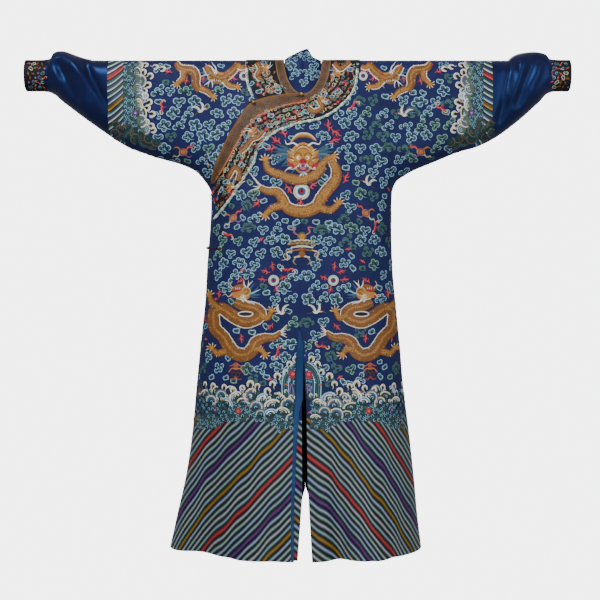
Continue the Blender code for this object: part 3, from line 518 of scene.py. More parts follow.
def make_piece(name, skins, materials, inner_material=1):
    """A closed wall of cloth from pairs of outer and inner grids, welded where outer points meet.

    A skin is a dict with outer, inner, uv (per point) and material (per cell).
    """
    outer = np.concatenate([skin["outer"].reshape(-1, 3) for skin in skins])
    inner = np.concatenate([skin["inner"].reshape(-1, 3) for skin in skins])
    uv = np.concatenate([skin["uv"].reshape(-1, 2) for skin in skins])
    keys = np.round(outer / WELD).astype(np.int64)
    _, first, numbers = np.unique(keys, axis=0, return_index=True, return_inverse=True)
    numbers = numbers.reshape(-1)
    quads, kinds, start = [], [], 0
    for skin in skins:
        rows, columns = skin["outer"].shape[:2]
        index = numbers[start:start + rows * columns].reshape(rows, columns)
        start += rows * columns
        around = [index[:-1, :-1], index[:-1, 1:], index[1:, 1:], index[1:, :-1]]
        quads.append(np.stack(around, -1).reshape(-1, 4))
        kinds.append(np.broadcast_to(skin.get("material", 0), (rows - 1, columns - 1)).ravel())
    quads, kinds = np.concatenate(quads), np.concatenate(kinds)
    edges = np.concatenate([quads[:, [i, (i + 1) % 4]] for i in range(4)])
    edges = edges[edges[:, 0] != edges[:, 1]]
    _, back_to, uses = np.unique(np.sort(edges, axis=1), axis=0, return_inverse=True, return_counts=True)
    free = edges[uses[back_to.reshape(-1)] == 1]
    count = len(first)
    faces = quads.tolist() + (quads[:, ::-1] + count).tolist()
    kinds = kinds.tolist() + [inner_material] * len(quads) + [0] * len(free)
    faces += np.stack([free[:, 1], free[:, 0], free[:, 0] + count, free[:, 1] + count], -1).tolist()
    corners = np.concatenate([outer[first], inner[first]])
    spots = np.concatenate([uv[first], uv[first]])
    kept = [(list(dict.fromkeys(face)), kind) for face, kind in zip(faces, kinds)]
    kept = [(face, kind) for face, kind in kept if len(face) > 2]
    mesh = bpy.data.meshes.new(name)
    mesh.from_pydata(corners.tolist(), [], [face for face, kind in kept])
    mesh.polygons.foreach_set("material_index", [kind for face, kind in kept])
    face_outwards(mesh)
    layer = mesh.uv_layers.new(name="stripe")
    used = np.empty(len(mesh.loops), int)
    mesh.loops.foreach_get("vertex_index", used)
    layer.data.foreach_set("uv", spots[used].astype(np.float32).ravel())
    for material in materials:
        mesh.materials.append(material)
    mesh.shade_smooth()
    mesh.set_sharp_from_angle(angle=SMOOTH_BELOW)
    return linked(name + "_cloth", mesh)


# Lishui stripes: pitch, the level of the first ochre stripe at the slit, and how far the stripes
# have fallen at distances from the middle, on the wearer's left and right
STRIPE_PITCH = 0.0189
STRIPE_START = -0.959
STRIPE_TOP = -0.985       # the stripes start here, beneath the waves
STRIPE_FALL = ((0.0, 0.002, 0.0), (0.022, 0.026, 0.018), (0.084, 0.089, 0.068), (0.16, 0.170, 0.165),
               (0.22, 0.232, 0.241), (0.26, 0.277, 0.300), (0.30, 0.333, 0.370), (0.34, 0.400, 0.450),
               (0.42, 0.550, 0.620))
LEFT_SWAY, RIGHT_SWAY, FINE_SWAY = 0.0030, 0.0016, 0.0012   # of the stripes, up and down
UNDERLAP_SHIFT = (0.030, -0.024)   # which slants the stripes beneath the slit the other way
BODY_REACH = (0.40, 0.42)         # no stripes lie at these distances from the middle
SLEEVE_STRIPES = (0.486, 0.5298)  # distances from the middle between which sleeves are striped
SLEEVE_START, SLEEVE_PITCH = 8.96, 0.0168   # stripe count at the shoulder line, and the pitch


def stripe_phase(x, z, back):
    """Stripe count at each place: whole numbers fall between stripes."""
    fall = np.array(STRIPE_FALL)
    left, right = (np.interp(np.abs(x), fall[:, 0], fall[:, i]) for i in (1, 2))
    sway = (np.where(x > 0, LEFT_SWAY, RIGHT_SWAY) * np.sin(x * 78 + 9 * (z + 1.1))
            + FINE_SWAY * np.sin(x * 131 - 17 * z))
    fallen = np.where((x < 0) ^ back, left, right) + sway * smoothstep(np.abs(x), 0.02, 0.07)
    phase = (STRIPE_START - z - fallen) / STRIPE_PITCH
    on_sleeve = np.abs(x) > BODY_REACH[0]
    way = np.abs(z) * np.where(back, -1.0, 1.0)
    out = np.clip(SLEEVE_STRIPES[1] - np.abs(x), 0, 0.05)
    sleeve = SLEEVE_START - (way + 0.42 * out + 7.0 * out ** 2) / SLEEVE_PITCH
    return np.where(on_sleeve, sleeve, phase)


SKIRT_LOOK, SLEEVE_LOOK = 2, 3    # places of the two striped looks in a panel's list


def skin_of(places, back, lift=0.0, shift=(0.0, 0.0)):
    """A skin of make_piece at a grid of places, striped where the robe is."""
    x, z = places[..., 0], places[..., 1]
    middle_x = (x[:-1, :-1] + x[1:, 1:]) / 2
    middle_z = (z[:-1, :-1] + z[1:, 1:]) / 2
    striped = (middle_z < STRIPE_TOP) & (np.abs(middle_x) < BODY_REACH[1])
    striped |= np.abs(middle_x) > SLEEVE_STRIPES[0]
    phase = stripe_phase(x + shift[0], z + shift[1], back)
    kind = np.where(striped, np.where(np.abs(middle_x) > BODY_REACH[1], SLEEVE_LOOK, SKIRT_LOOK), 0)
    return {"outer": places_on(x, z, back, lift), "inner": places_on(x, z, back, lift - WALL),
            "uv": np.stack([phase / len(STRIPE_ORDER), x + z], -1), "material": kind}


COLUMNS, HIGH_ROWS, TOP_ROWS, SLEEVE_COLUMNS, UNDERLAP_COLUMNS = 50, 40, 12, 46, 40
LOW_LEVELS = np.linspace(ARMPIT_Z, HEM_Z, 152)[1:]


def levels_between(start, end, closing):
    """Levels below the shoulder line, close together over its round and, with closing, at the end."""
    rounded = TOP_ROUND * (1 - (1 - np.linspace(0, 1, TOP_ROWS) ** 2) ** (1 / ROUND_POWER))
    levels = start + min(1.0, 0.6 * (end - start) / TOP_ROUND) * rounded
    step = np.linspace(0, 1, HIGH_ROWS + 1)[1:]
    share = (1 - closing) * step + closing * np.sin(step * math.pi / 2)
    return np.concatenate([levels, levels[-1] + (end - levels[-1]) * share])


def column_x(side, share, z, middle):
    """x at height z of a column at a share of the way from the panel's centre edge to the side."""
    z = np.asarray(z, float)
    width = side_x(side, np.minimum(z, ARMPIT_Z))
    closing = smoothstep(z, *SHARES_LEVEL)
    reach = share + (math.sin(share * math.pi / 2) - share) * closing
    return middle(z) + (side * width - middle(z)) * reach


def neck_cut_depth(x, drop):
    """How far below the shoulder line the neck is cut at x."""
    inside = 1 - ((x - NECK_X) / NECK_CUT[0]) ** 2
    return drop * math.sqrt(inside) if inside > 0 else 0.0


def straight_middle(side):
    return lambda z: np.full(np.shape(z), side * SEAM_GAP / 2)


def left_slit_edge(z):
    return np.where(z < SLIT_TOP_Z, falling(SLIT_EDGES, 3, z), SEAM_GAP / 2)


def overlap_slit_edge(z):
    return np.where(z < SLIT_TOP_Z, falling(SLIT_EDGES, 1, z), 0.0) - SEAM_GAP / 2


VENT_LAP, VENT_TACK = 0.0007, (-1.215, -1.195)


def vent_edge(side):
    """Edge of the back vent, whose sides just lap where it is tacked shut."""
    def edge(z):
        return falling(VENT_EDGES, SIDE_COLUMN[side], z) - side * VENT_LAP * smoothstep(z, *VENT_TACK)
    return edge


def lapel_level(share):
    """How far below the shoulder line a column of the right side crosses the lapel's free edge."""
    high, low = LAPEL[0][1], ARMPIT_Z
    for _ in range(30):
        z = (high + low) / 2
        x = float(column_x(-1, share, z, straight_middle(-1)))
        if z > np.interp(x, LAPEL_CURVE[::-1, 0], LAPEL_CURVE[::-1, 1]):
            high = z
        else:
            low = z
    return -(high + low) / 2


NECK_LEVEL = -0.05       # at which a column's x is taken for the neck's cut


def body_places(side, middle, drop, end_level, low_levels, first=0.0):
    """(x, z) places of a half panel: columns from the centre edge to the side, rows downwards."""
    columns = []
    for share in np.linspace(first, 1, COLUMNS):
        top = neck_cut_depth(float(column_x(side, share, NECK_LEVEL, middle)), drop)
        z = -levels_between(top, end_level(share), share ** 2)
        z = np.concatenate([z, low_levels])
        columns.append(np.stack([column_x(side, share, z, middle), z], -1))
    return np.array(columns)


def sleeve_places(side):
    """(x, z) places of an upper sleeve, from the side line to the sleeve seam."""
    start, end = float(side_x(side, ARMPIT_Z)), SLEEVE_SEAM_X - SEAM_GAP / 2
    columns = []
    for share in np.linspace(0, 1, SLEEVE_COLUMNS):
        distance = start + (end - start) * share
        z = -levels_between(0.0, -float(sleeve_bottom_z(side, distance)), 1.0)
        columns.append(np.stack([np.full(len(z), side * distance), z], -1))
    return np.array(columns)


def overlap_places():
    """(x, z) places of the outer front's overlap, from the lapel to the hem."""
    columns = []
    for share in np.linspace(0, 1, COLUMNS):
        top = -lapel_level(share)
        z = np.concatenate([np.linspace(top, LOW_LEVELS[8], 30), LOW_LEVELS[9:]])
        columns.append(np.stack([column_x(-1, share, z, overlap_slit_edge), z], -1))
    return np.array(columns)


UNDERLAP_DROP, UNDERLAP_SHORT = 0.04, 0.004    # below the lapel, and above the hem
UNDERLAP_REACH = 0.93    # share of the way to the side


def underlap_edge(z):
    return falling(UNDERLAP_EDGE, 1, z)


def underlap_places():
    """(x, z) places of the inner front, beneath the overlap."""
    columns = []
    for share in np.linspace(0, UNDERLAP_REACH, UNDERLAP_COLUMNS):
        top = -lapel_level(share) - UNDERLAP_DROP
        z = np.concatenate([np.linspace(top, LOW_LEVELS[12], 16), LOW_LEVELS[14::2]])
        z = np.minimum(z, top)
        z[-1] = HEM_Z + UNDERLAP_SHORT
        columns.append(np.stack([column_x(-1, share, z, underlap_edge), z], -1))
    return np.array(columns)


def armpit(share):
    return -ARMPIT_Z


def right_front_end(share):
    return -ARMPIT_Z if share == 1 else lapel_level(share) - SEAM_GAP


def make_panels(looks):
    """Every panel of blue silk, each with its upper sleeve where it has one."""
    sleeve = {side: sleeve_places(side) for side in (-1, 1)}
    right_front = body_places(-1, straight_middle(-1), NECK_CUT[1], right_front_end, [], 0.2)
    bodies = {
        "back_left": (1, True, body_places(1, vent_edge(1), NECK_CUT[2], armpit, LOW_LEVELS)),
        "back_right": (-1, True, body_places(-1, vent_edge(-1), NECK_CUT[2], armpit, LOW_LEVELS)),
        "front_left": (1, False, body_places(1, left_slit_edge, NECK_CUT[1], armpit, LOW_LEVELS)),
        "front_right": (-1, False, right_front),
    }
    made = {name: make_piece(name, [skin_of(body, back), skin_of(sleeve[side], back)], looks)
            for name, (side, back, body) in bodies.items()}
    made["front_overlap"] = make_piece("front_overlap", [skin_of(overlap_places(), False)], looks)
    under = skin_of(underlap_places(), False, -LAYER_STEP, UNDERLAP_SHIFT)
    made["underlap"] = make_piece("underlap", [under], looks)
    return made


def make_tube(name, side, stations, sides, looks):
    """A sleeve or cuff: rings at distances from the middle, each closed over top and bottom."""
    turns = np.linspace(0, 2 * math.pi, sides + 1)
    back = np.broadcast_to(turns > math.pi + 1e-6, (len(stations), sides + 1))
    high = sleeve_top_z(side, stations)[:, None]
    low = sleeve_bottom_z(side, stations)[:, None]
    z = high + (low - high) * (0.5 - 0.5 * np.cos(turns))
    x = np.broadcast_to(side * np.asarray(stations)[:, None], z.shape)
    skins = [places_on(x, z, back, lift, 0.0) for lift in (0.0, -WALL)]
    for grid in skins:
        grid[:, (0, sides // 2), 1] = 0.0
        grid[:, sides] = grid[:, 0]
    skin = {"outer": skins[0], "inner": skins[1], "uv": np.stack([x, z], -1)}
    return make_piece(name, [skin], looks)


def ring_place(ring, angle, side):
    """x, z and face of a neck ring's points; the angle is 0 at the middle front, 180 degrees behind."""
    half, front_drop, back_drop = ring
    turn = np.cos(angle)
    drop = np.where(turn >= 0, front_drop, back_drop)
    return np.stack([NECK_X + side * half * np.sin(angle), -drop * np.abs(turn), turn < -1e-9], -1)


RING_STEPS = 44          # in a quarter of a neck ring


def ring_angles(start, end):
    """Angles from start to end, closest together at the shoulder."""
    turn = math.pi / 2
    first, last = (math.copysign(math.sqrt(abs(turn - a) / turn), a - turn) for a in (start, end))
    share = np.linspace(first, last, max(2, int(abs(last - first) * RING_STEPS)))
    return turn * (1 + np.sign(share) * share ** 2)


def denser(pairs, steps):
    """More pairs of angles between the given ones."""
    at = np.linspace(0, len(pairs) - 1, (len(pairs) - 1) * steps + 1)
    return np.stack([np.interp(at, np.arange(len(pairs)), np.array(pairs)[:, i]) for i in (0, 1)], -1)


def ring_edges(rings, ends, turn, last):
    """Inner and outer edge of a band round the neck: its cut right end, behind, then to the front."""
    start = denser(ends[::-1] + ((turn, turn),), 6)[:-1]
    right, left = ring_angles(turn, math.pi), ring_angles(math.pi, last)
    return [[ring_place(ring, start[:, column], -1), ring_place(ring, right, -1),
             ring_place(ring, left, 1)[1:]] for column, ring in enumerate(rings)]


def trim_edges():
    """Inner and outer edges of the neck trim, from the lapel over the right shoulder to the front."""
    return [np.concatenate(edge) for edge in ring_edges((TRIM_INNER, TRIM_OUTER), TRIM_END, TRIM_TURN, 0.0)]


def on_front(points):
    """x, z and face of places on the front."""
    return np.concatenate([points, np.zeros((len(points), 1))], -1)


BAND_SHIFT = np.array([0.0003, -0.0006])    # of the band along the lapel, clear of its trim


def band_edges():
    """Inner and outer edges of the collar band, from the lapel's top right round to its lower end."""
    ring = tuple(size + SEAM_GAP for size in TRIM_OUTER)
    inner, outer = ring_edges((ring, BAND_OUTER), BAND_END, *BAND_TURNS)
    corner = ring_place(ring, CORNER_TURN, 1)[:2]
    inner_path = np.vstack([inner[-1][-1, :2], corner, np.array(LAPEL)[:, 2:]])
    outer_path = np.vstack([outer[-1][-1, :2], BAND_CORNER, np.array(BAND_LAPEL_EDGE)])
    inner.append(on_front(smooth_curve(inner_path, 7) + BAND_SHIFT)[1:])
    outer.append(on_front(smooth_curve(outer_path, 7))[1:])
    return np.concatenate(inner), np.concatenate(outer)


LAPEL_END = (-0.2462, -0.3480, -0.2345, -0.3465)    # last row of the lapel for its trim


def lapel_edges():
    """Free edge and inner edge of the lapel's trim."""
    rows = smooth_curve(LAPEL[:-1] + (LAPEL_END,), 7)
    return on_front(rows[:, :2]), on_front(rows[:, 2:])


def make_strip(name, edges, across, looks):
    """A band on the panels between two edges; uv is the way along it and the share across it."""
    start, end = edges
    shares = np.linspace(0, 1, across + 1)
    places = start[:, None, :2] + (end[:, None, :2] - start[:, None, :2]) * shares[None, :, None]
    back = (start[:, 2] + end[:, 2] > 0)[:, None] & np.ones(across + 1, bool)
    x, z = places[..., 0], places[..., 1]
    middle = places_on(x, z, back, LAY_GAP, 0.0)[:, across // 2]
    along = ways_along(middle)
    uv = np.stack(np.broadcast_arrays(along[:, None], shares[None]), -1)
    skin = {"outer": places_on(x, z, back, LAY_GAP + BAND_WALL, 0.0),
            "inner": places_on(x, z, back, LAY_GAP, 0.0), "uv": uv}
    return make_piece(name, [skin], looks, 0)


FLAP_BACK, FLAP_REACH = 0.026, 0.085    # how far the corner leans back, and half its round's width


def flap_points(x, z):
    """The inner front's corner: against the front below the neck, leaning back above it."""
    lean = smoothstep(z, FLAP_SIDES[-1][0] + 0.004, -0.004)
    against = places_on(x, np.minimum(z, -0.0005), False, -LAYER_STEP)[..., 1]
    set_back = -FLAP_BACK * (1 - ((x - NECK_X) / FLAP_REACH) ** 2)
    upright = 0.007 * np.exp(-((x - 0.012) / 0.006) ** 2) * smoothstep(z, -0.062, -0.02)
    fold = 0.0045 * np.exp(-((z + 0.004) / 0.006) ** 2) + upright
    return np.stack([x, against + (set_back - against) * lean + fold, z], -1)


def make_neck_flap(looks):
    """The inner front's corner, which stands up inside the neck."""
    bottom = FLAP_SIDES[-1][0]
    tops = smooth_curve(FLAP_TOP, 5)
    share = np.linspace(0, 1, 34)
    high = np.interp(tops[0, 0] + (tops[-1, 0] - tops[0, 0]) * share, tops[:, 0], tops[:, 1])
    z = bottom + (high[:, None] - bottom) * np.linspace(0, 1, 30)
    near, far = falling(FLAP_SIDES, 1, z), falling(FLAP_SIDES, 2, z)
    x = near + (far - near) * share[:, None]
    outer = flap_points(x, z)
    skin = {"outer": outer, "inner": outer + np.array([0, WALL, 0]), "uv": np.stack([x, z], -1)}
    return make_piece("neck_flap", [skin], looks)


def make_slit_facing(looks):
    """The satin strip on the overlap's slit edge."""
    z = np.linspace(SLIT_TOP_Z - 0.001, HEM_Z, 130)
    start, end = overlap_slit_edge(z) + SEAM_GAP, falling(SLIT_EDGES, 2, z)
    share = np.linspace(0, 1, 5)[:, None]
    places = np.stack([start + (end - start) * share, np.broadcast_to(z, (5, len(z)))], -1)
    skin = skin_of(places, False)
    skin["material"] = 0
    return make_piece("slit_facing", [skin], looks)


# ---- Materials ----

# Linear colours
PALETTE = {
    "ground": (0.0130, 0.0185, 0.0920), "navy": (0.0059, 0.0064, 0.0211),
    "cream": (0.7800, 0.6900, 0.4600), "white": (0.9300, 0.9200, 0.8600),
    "pale blue": (0.3500, 0.6500, 0.9000), "mid blue": (0.0433, 0.1133, 0.2522),
    "teal": (0.0270, 0.0960, 0.1300), "green": (0.0560, 0.1900, 0.1500),
    "dark teal": (0.0097, 0.0366, 0.0428), "gold": (0.5200, 0.2350, 0.0350),
    "orange": (0.2800, 0.1050, 0.0200), "brown": (0.0825, 0.0321, 0.0137),
    "red": (0.4200, 0.0180, 0.0420), "pink": (0.7385, 0.1211, 0.0898),
    "purple": (0.0962, 0.0319, 0.1488), "lilac": (0.2575, 0.1504, 0.3777),
    "grey blue": (0.1165, 0.1636, 0.2310), "grey green": (0.0985, 0.1347, 0.0900),
    "black": (0.0087, 0.0092, 0.0116),
    "satin blue": (0.0095, 0.0105, 0.0460), "facing": (0.0195, 0.0553, 0.1355),
    "trim": (0.0900, 0.0460, 0.0330), "trim gold": (0.2300, 0.1320, 0.0500),
    "edge green": (0.2400, 0.5200, 0.3800),
    # lining: near black, a dark lining that also paints the shade inside the robe
    "lining": (0.0087, 0.0091, 0.0126),
}
# The fifteen stripes that repeat, downwards: light face, dark face. Each pair is two graded tints of one
# hue. The light tint is a painted highlight on the stripe's ridge and the dark tint is painted shade on its
# sides
STRIPE_FACES = {
    "ochre": ((0.3000, 0.1750, 0.0150), (0.0445, 0.0303, 0.0084)),
    "red": ((0.4600, 0.0450, 0.0440), (0.0942, 0.0114, 0.0159)),
    "purple": ((0.1167, 0.0360, 0.1760), (0.0209, 0.0056, 0.0424)),
    "blue": ((0.3000, 0.3950, 0.5100), (0.0070, 0.0120, 0.0500)),
    "green": ((0.2950, 0.4300, 0.3750), (0.0050, 0.0180, 0.0200)),
    "grey": ((0.4000, 0.4350, 0.4600), (0.0080, 0.0105, 0.0300)),
    "teal": ((0.2350, 0.3950, 0.4150), (0.0050, 0.0170, 0.0250)),
}
STRIPE_ORDER = ("ochre", "blue", "green", "grey", "teal", "red", "grey", "green", "blue", "teal", "purple",
                "blue", "green", "grey", "teal")


def shade(name):
    return PALETTE[name] + (1.0,)


class Look:
    """A material built node by node; most methods return an output socket."""

    def __init__(self, name, colour=(0.5, 0.5, 0.5, 1), roughness=0.6, metallic=0.0, specular=0.15):
        self.material = bpy.data.materials.new(name)
        self.material.use_nodes = True
        self.tree = self.material.node_tree
        self.shader = self.tree.nodes["Principled BSDF"]
        self.set("Base Color", colour)
        self.set("Roughness", roughness)
        self.set("Metallic", metallic)
        self.set("Specular IOR Level", specular)

    def set(self, name, value):
        if isinstance(value, bpy.types.NodeSocket):
            self.tree.links.new(value, self.shader.inputs[name])
        else:
            self.shader.inputs[name].default_value = value

    def node(self, kind, **given):
        """A node: names that start with a capital or an underscore are its inputs."""
        node = self.tree.nodes.new("ShaderNode" + kind)
        for key, value in given.items():
            if key[0].isupper() or key.startswith("_"):
                key = key.strip("_")
                socket = node.inputs[int(key)] if key.isdigit() else node.inputs[key.replace("_", " ")]
                if isinstance(value, bpy.types.NodeSocket):
                    self.tree.links.new(value, socket)
                else:
                    socket.default_value = value
            else:
                setattr(node, key, value)
        return node

    def coordinates(self):
        return self.node("TexCoord").outputs["Object"]

    def noise(self, scale, detail=2.0, stretch=None):
        vector = self.coordinates()
        if stretch:
            vector = self.node("Mapping", Vector=vector, Scale=stretch).outputs[0]
        return self.node("TexNoise", Vector=vector, Scale=scale, Detail=detail).outputs[0]

    def waves(self, scale, direction="X", distortion=0.0):
        wave = self.node("TexWave", bands_direction=direction, Vector=self.coordinates(), Scale=scale,
                         Distortion=distortion)
        return wave.outputs["Fac"]

    def math(self, operation, first, second=0.5, third=0.5):
        return self.node("Math", operation=operation, _0=first, _1=second, _2=third).outputs[0]

    def ramp(self, value, stops, interpolation="LINEAR"):
        node = self.node("ValToRGB", Fac=value)
        elements = node.color_ramp.elements
        node.color_ramp.interpolation = interpolation
        while len(elements) < len(stops):
            elements.new(0.5)
        for element, (place, colour) in zip(elements, stops):
            element.position = place
            element.color = colour if isinstance(colour, tuple) else (colour, colour, colour, 1)
        return node.outputs[0]

    def mix(self, share, first, second, blend="MIX"):
        node = self.node("Mix", data_type="RGBA", blend_type=blend)
        for index, value in ((0, share), (6, first), (7, second)):
            if isinstance(value, bpy.types.NodeSocket):
                self.tree.links.new(value, node.inputs[index])
            else:
                node.inputs[index].default_value = value
        return node.outputs[2]

    def bump(self, height, strength, distance):
        normal = self.node("Bump", Height=height, Strength=strength, Distance=distance)
        self.set("Normal", normal.outputs[0])


def varied(look, colour, amount, scale):
    """The colour, darker in soft patches."""
    patches = look.ramp(look.noise(scale), [(0.3, 1 - amount), (0.7, 1.0)])
    return look.mix(1.0, patches, colour, "MULTIPLY")


def silk(name, colour, roughness=0.55):
    """Satin-woven silk: fine threads and a soft unevenness."""
    look = Look(name, roughness=roughness, specular=0.12)
    look.set("Base Color", varied(look, shade(colour), amount=0.3, scale=14.0))
    look.bump(look.waves(900.0, "X", 1.5), strength=0.25, distance=0.0002)
    return look.material


def satin(name, colour):
    """Satin with soft broad folds and a blue lustre."""
    look = Look(name, roughness=0.34, specular=0.5)
    look.set("Specular Tint", (0.10, 0.30, 1.0, 1))
    look.set("Base Color", varied(look, shade(colour), amount=0.45, scale=9.0))
    look.bump(look.noise(26.0, stretch=(1.0, 1.0, 0.35)), strength=0.5, distance=0.004)
    return look.material


def floss(name):
    """Embroidery silk: satin stitches with a soft lustre, each a little different."""
    look = Look(name, roughness=0.42, specular=0.25)
    stitches = look.ramp(look.waves(520.0, "DIAGONAL", 4.0), [(0.0, 0.72), (0.6, 1.0)])
    colour = varied(look, shade(name), amount=0.25, scale=60.0)
    look.set("Base Color", look.mix(1.0, colour, stitches, "MULTIPLY"))
    look.bump(look.waves(700.0, "DIAGONAL", 4.0), strength=0.4, distance=0.0003)
    return look.material


def couched(name):
    """Couched metal thread that shows a scale pattern."""
    look = Look(name + " scales", roughness=0.38, specular=0.3)
    cells = look.node("TexVoronoi", Vector=look.coordinates(), Scale=230.0, feature="DISTANCE_TO_EDGE")
    edge = look.ramp(cells.outputs["Distance"], [(0.0, 0.0), (0.16, 1.0)])
    colour = look.mix(edge, shade("brown"), varied(look, shade(name), amount=0.3, scale=45.0))
    look.set("Base Color", colour)
    look.bump(edge, strength=0.5, distance=0.0006)
    return look.material


def stripes(name, ridge, gain=1.0, flip=False):
    """Slanting satin-stitched stripes, graded from dark to light in colour, with a painted highlight along
    each ridge and near-black painted shade in the grooves; ridge is where the painted highlight lies.
    """
    look = Look(name, roughness=0.45, specular=0.2)
    place = look.node("SeparateXYZ", Vector=look.node("UVMap", uv_map="stripe").outputs[0]).outputs[0]
    ripple = look.math("MULTIPLY_ADD", look.noise(9.0, 1.0), 0.012, -0.006)
    place = look.math("FRACT", look.math("ADD", place, ripple))
    within = look.math("FRACT", look.math("MULTIPLY", place, float(len(STRIPE_ORDER))))
    if flip:
        within = look.math("SUBTRACT", 1.0, within)
    faces = [[tuple(min(part * gain, 0.9) for part in face) + (1,) for face in STRIPE_FACES[hue]]
             for hue in STRIPE_ORDER]
    starts = [i / len(faces) for i in range(len(faces))]
    light, dark = (look.ramp(place, list(zip(starts, side)), "CONSTANT") for side in zip(*faces))
    # Painted highlight: the light tint peaks just past the ridge and falls back to the dark tint on both
    # sides
    share = look.ramp(within, [(0.0, 0.0), (ridge - 0.27, 0.03), (ridge - 0.10, 0.38), (ridge + 0.05, 1.0),
                               (min(ridge + 0.22, 0.93), 0.30), (0.97, 0.0)])
    colour = look.mix(share, dark, light)
    # Painted shade: the colour falls to near black at each stripe's edges, in the grooves between stripes
    edge = look.ramp(within, [(0.0, 0.05), (0.14, 1.0), (0.84, 1.0), (0.95, 0.04)])
    colour = look.mix(1.0, colour, edge, "MULTIPLY")
    threads = look.ramp(look.waves(420.0, "X", 2.0), [(0.0, 0.80), (1.0, 1.0)])
    look.set("Base Color", look.mix(1.0, colour, threads, "MULTIPLY"))
    height = look.ramp(within, [(0.0, 0.0), (0.15, 0.6), (0.48, 1.0), (0.82, 0.6), (1.0, 0.0)])
    look.bump(height, strength=0.9, distance=0.0022)
    return look.material


def brocade(name, colour, accent):
    """Woven trim with small gold figures in rows."""
    look = Look(name, roughness=0.5, specular=0.15)
    way = look.node("SeparateXYZ", Vector=look.node("UVMap", uv_map="stripe").outputs[0])
    cells = look.node("TexVoronoi", Vector=look.coordinates(), Scale=210.0, feature="DISTANCE_TO_EDGE")
    share = look.ramp(cells.outputs["Distance"], [(0.02, 0.40), (0.12, 0.0)])
    from_edge = look.math("PINGPONG", way.outputs[1], 0.5)
    lines = look.ramp(from_edge, [(0.0, 0.9), (0.07, 0.9), (0.10, 0.0),
                                  (0.16, 0.0), (0.18, 0.6), (0.22, 0.0)])
    figured = look.mix(share, varied(look, shade(colour), amount=0.62, scale=55.0), shade(accent))
    look.set("Base Color", look.mix(lines, figured, shade(accent)))
    look.bump(lines, strength=0.4, distance=0.0004)
    return look.material


def metal(name):
    look = Look(name, (0.50, 0.30, 0.09, 1), roughness=0.32, metallic=1.0)
    look.bump(look.noise(900.0), strength=0.3, distance=0.0003)
    return look.material


# ---- Embroidery: small raised patches in picture units, laid on the cloth ----

PX = 0.00266             # one picture unit on the cloth, in metres
SLEEVE_PX = 0.00276      # the same on the sleeves, which lie further from the eye
BASE_LIFT = 0.0008       # of embroidery above the cloth
MM = 0.001               # patches hold their lifts in millimetres
LEVEL_STEP = 0.16        # lift of each level of stitching above the one beneath, in millimetres
# Further lifts of what lies over the clouds and the sea
DRAGON_LIFT, SWELL_LIFT, MOTIF_LIFT = 0.0003, 0.0003, 0.0004
CREST_LIFT, TREASURE_LIFT, FOAM_LIFT = 0.0005, 0.0007, 0.0008
FLOSS = ("cream", "white", "pale blue", "mid blue", "teal", "green", "dark teal", "gold", "orange", "brown",
         "red", "pink", "purple", "lilac", "grey blue", "grey green", "navy", "black", "edge green",
         "ground", "gold scales", "orange scales")
CODE = {name: number for number, name in enumerate(FLOSS)}


def join(*patches):
    """One patch from several: points (across, up, lift in mm), triangles and colour numbers."""
    points, faces, colours, start = [], [], [], 0
    for patch in patches:
        points.append(patch[0])
        faces.append(patch[1] + start)
        colours.append(patch[2])
        start += len(patch[0])
    return np.concatenate(points), np.concatenate(faces), np.concatenate(colours)


def stroke(path, width, colour, level=0, smooth=3, dome=0.3):
    """A stitched line along a path; width may be a list; colour may be a list of bands across it."""
    path = np.array(path, float)
    widths = np.broadcast_to(np.asarray(width, float), (len(path),))
    if smooth > 1:
        full = smooth_curve(np.column_stack([path, widths]), smooth)
        path, widths = full[:, :2], np.maximum(full[:, 2], 0.02)
    side = beside(path)
    bands = [colour] * 2 if isinstance(colour, str) else list(colour)
    across = np.linspace(-0.5, 0.5, len(bands) + 1)
    places = path[:, None] + side[:, None] * (across[None, :, None] * widths[:, None, None])
    lift = level * LEVEL_STEP + dome * (1 - (2 * across) ** 2)
    lift = np.broadcast_to(lift, places.shape[:2])
    points = np.concatenate([places, lift[..., None]], -1).reshape(-1, 3)
    rows, columns = len(path), len(across)
    index = np.arange(rows * columns).reshape(rows, columns)
    a, b = index[:-1, :-1].ravel(), index[:-1, 1:].ravel()
    c, d = index[1:, 1:].ravel(), index[1:, :-1].ravel()
    faces = np.concatenate([np.stack([a, b, c], -1), np.stack([a, c, d], -1)])
    codes = np.tile([CODE[band] for band in bands], rows - 1)
    return points, faces, np.concatenate([codes, codes])


def arc(x, y, radius, width, start, end, colour, level=0, dome=0.3, squash=1.0, step=26):
    """A stitched arc; angles in degrees, anticlockwise from the right."""
    count = max(4, int(abs(end - start) / step) + 1)
    turns = np.radians(np.linspace(start, end, count))
    path = np.stack([x + radius * np.cos(turns), y + radius * squash * np.sin(turns)], -1)
    return stroke(path, width, colour, level, 1, dome)


def blob(outline, colour, level=0, smooth=3, dome=0.35):
    """A filled patch inside a closed outline."""
    outline = np.array(outline, float)
    if smooth > 1:
        looped = np.vstack([outline[-1], outline, outline[:2]])
        outline = smooth_curve(looped, smooth)[smooth:-smooth]
        outline = outline[:-1] if np.allclose(outline[0], outline[-1], atol=1e-6) else outline
    middle = outline.mean(0)
    count = len(outline)
    base = level * LEVEL_STEP
    points = [np.column_stack([middle + (outline - middle) * share, np.full(count, base + dome * up)])
              for share, up in ((1.0, 0.0), (0.75, 0.75))]
    points.append(np.array([[*middle, base + dome]]))
    i = np.arange(count)
    j = (i + 1) % count
    faces = np.concatenate([np.stack([i, j, count + j], -1), np.stack([i, count + j, count + i], -1),
                            np.stack([count + i, count + j, np.full(count, 2 * count)], -1)])
    return np.concatenate(points), faces, np.full(len(faces), CODE[colour])


def disc(x, y, radius, colour, level=0, sides=10, squash=1.0, dome=0.35):
    turns = np.linspace(0, 2 * math.pi, sides + 1)[:-1]
    outline = np.stack([x + radius * np.cos(turns), y + radius * squash * np.sin(turns)], -1)
    return blob(outline, colour, level, 1, dome)


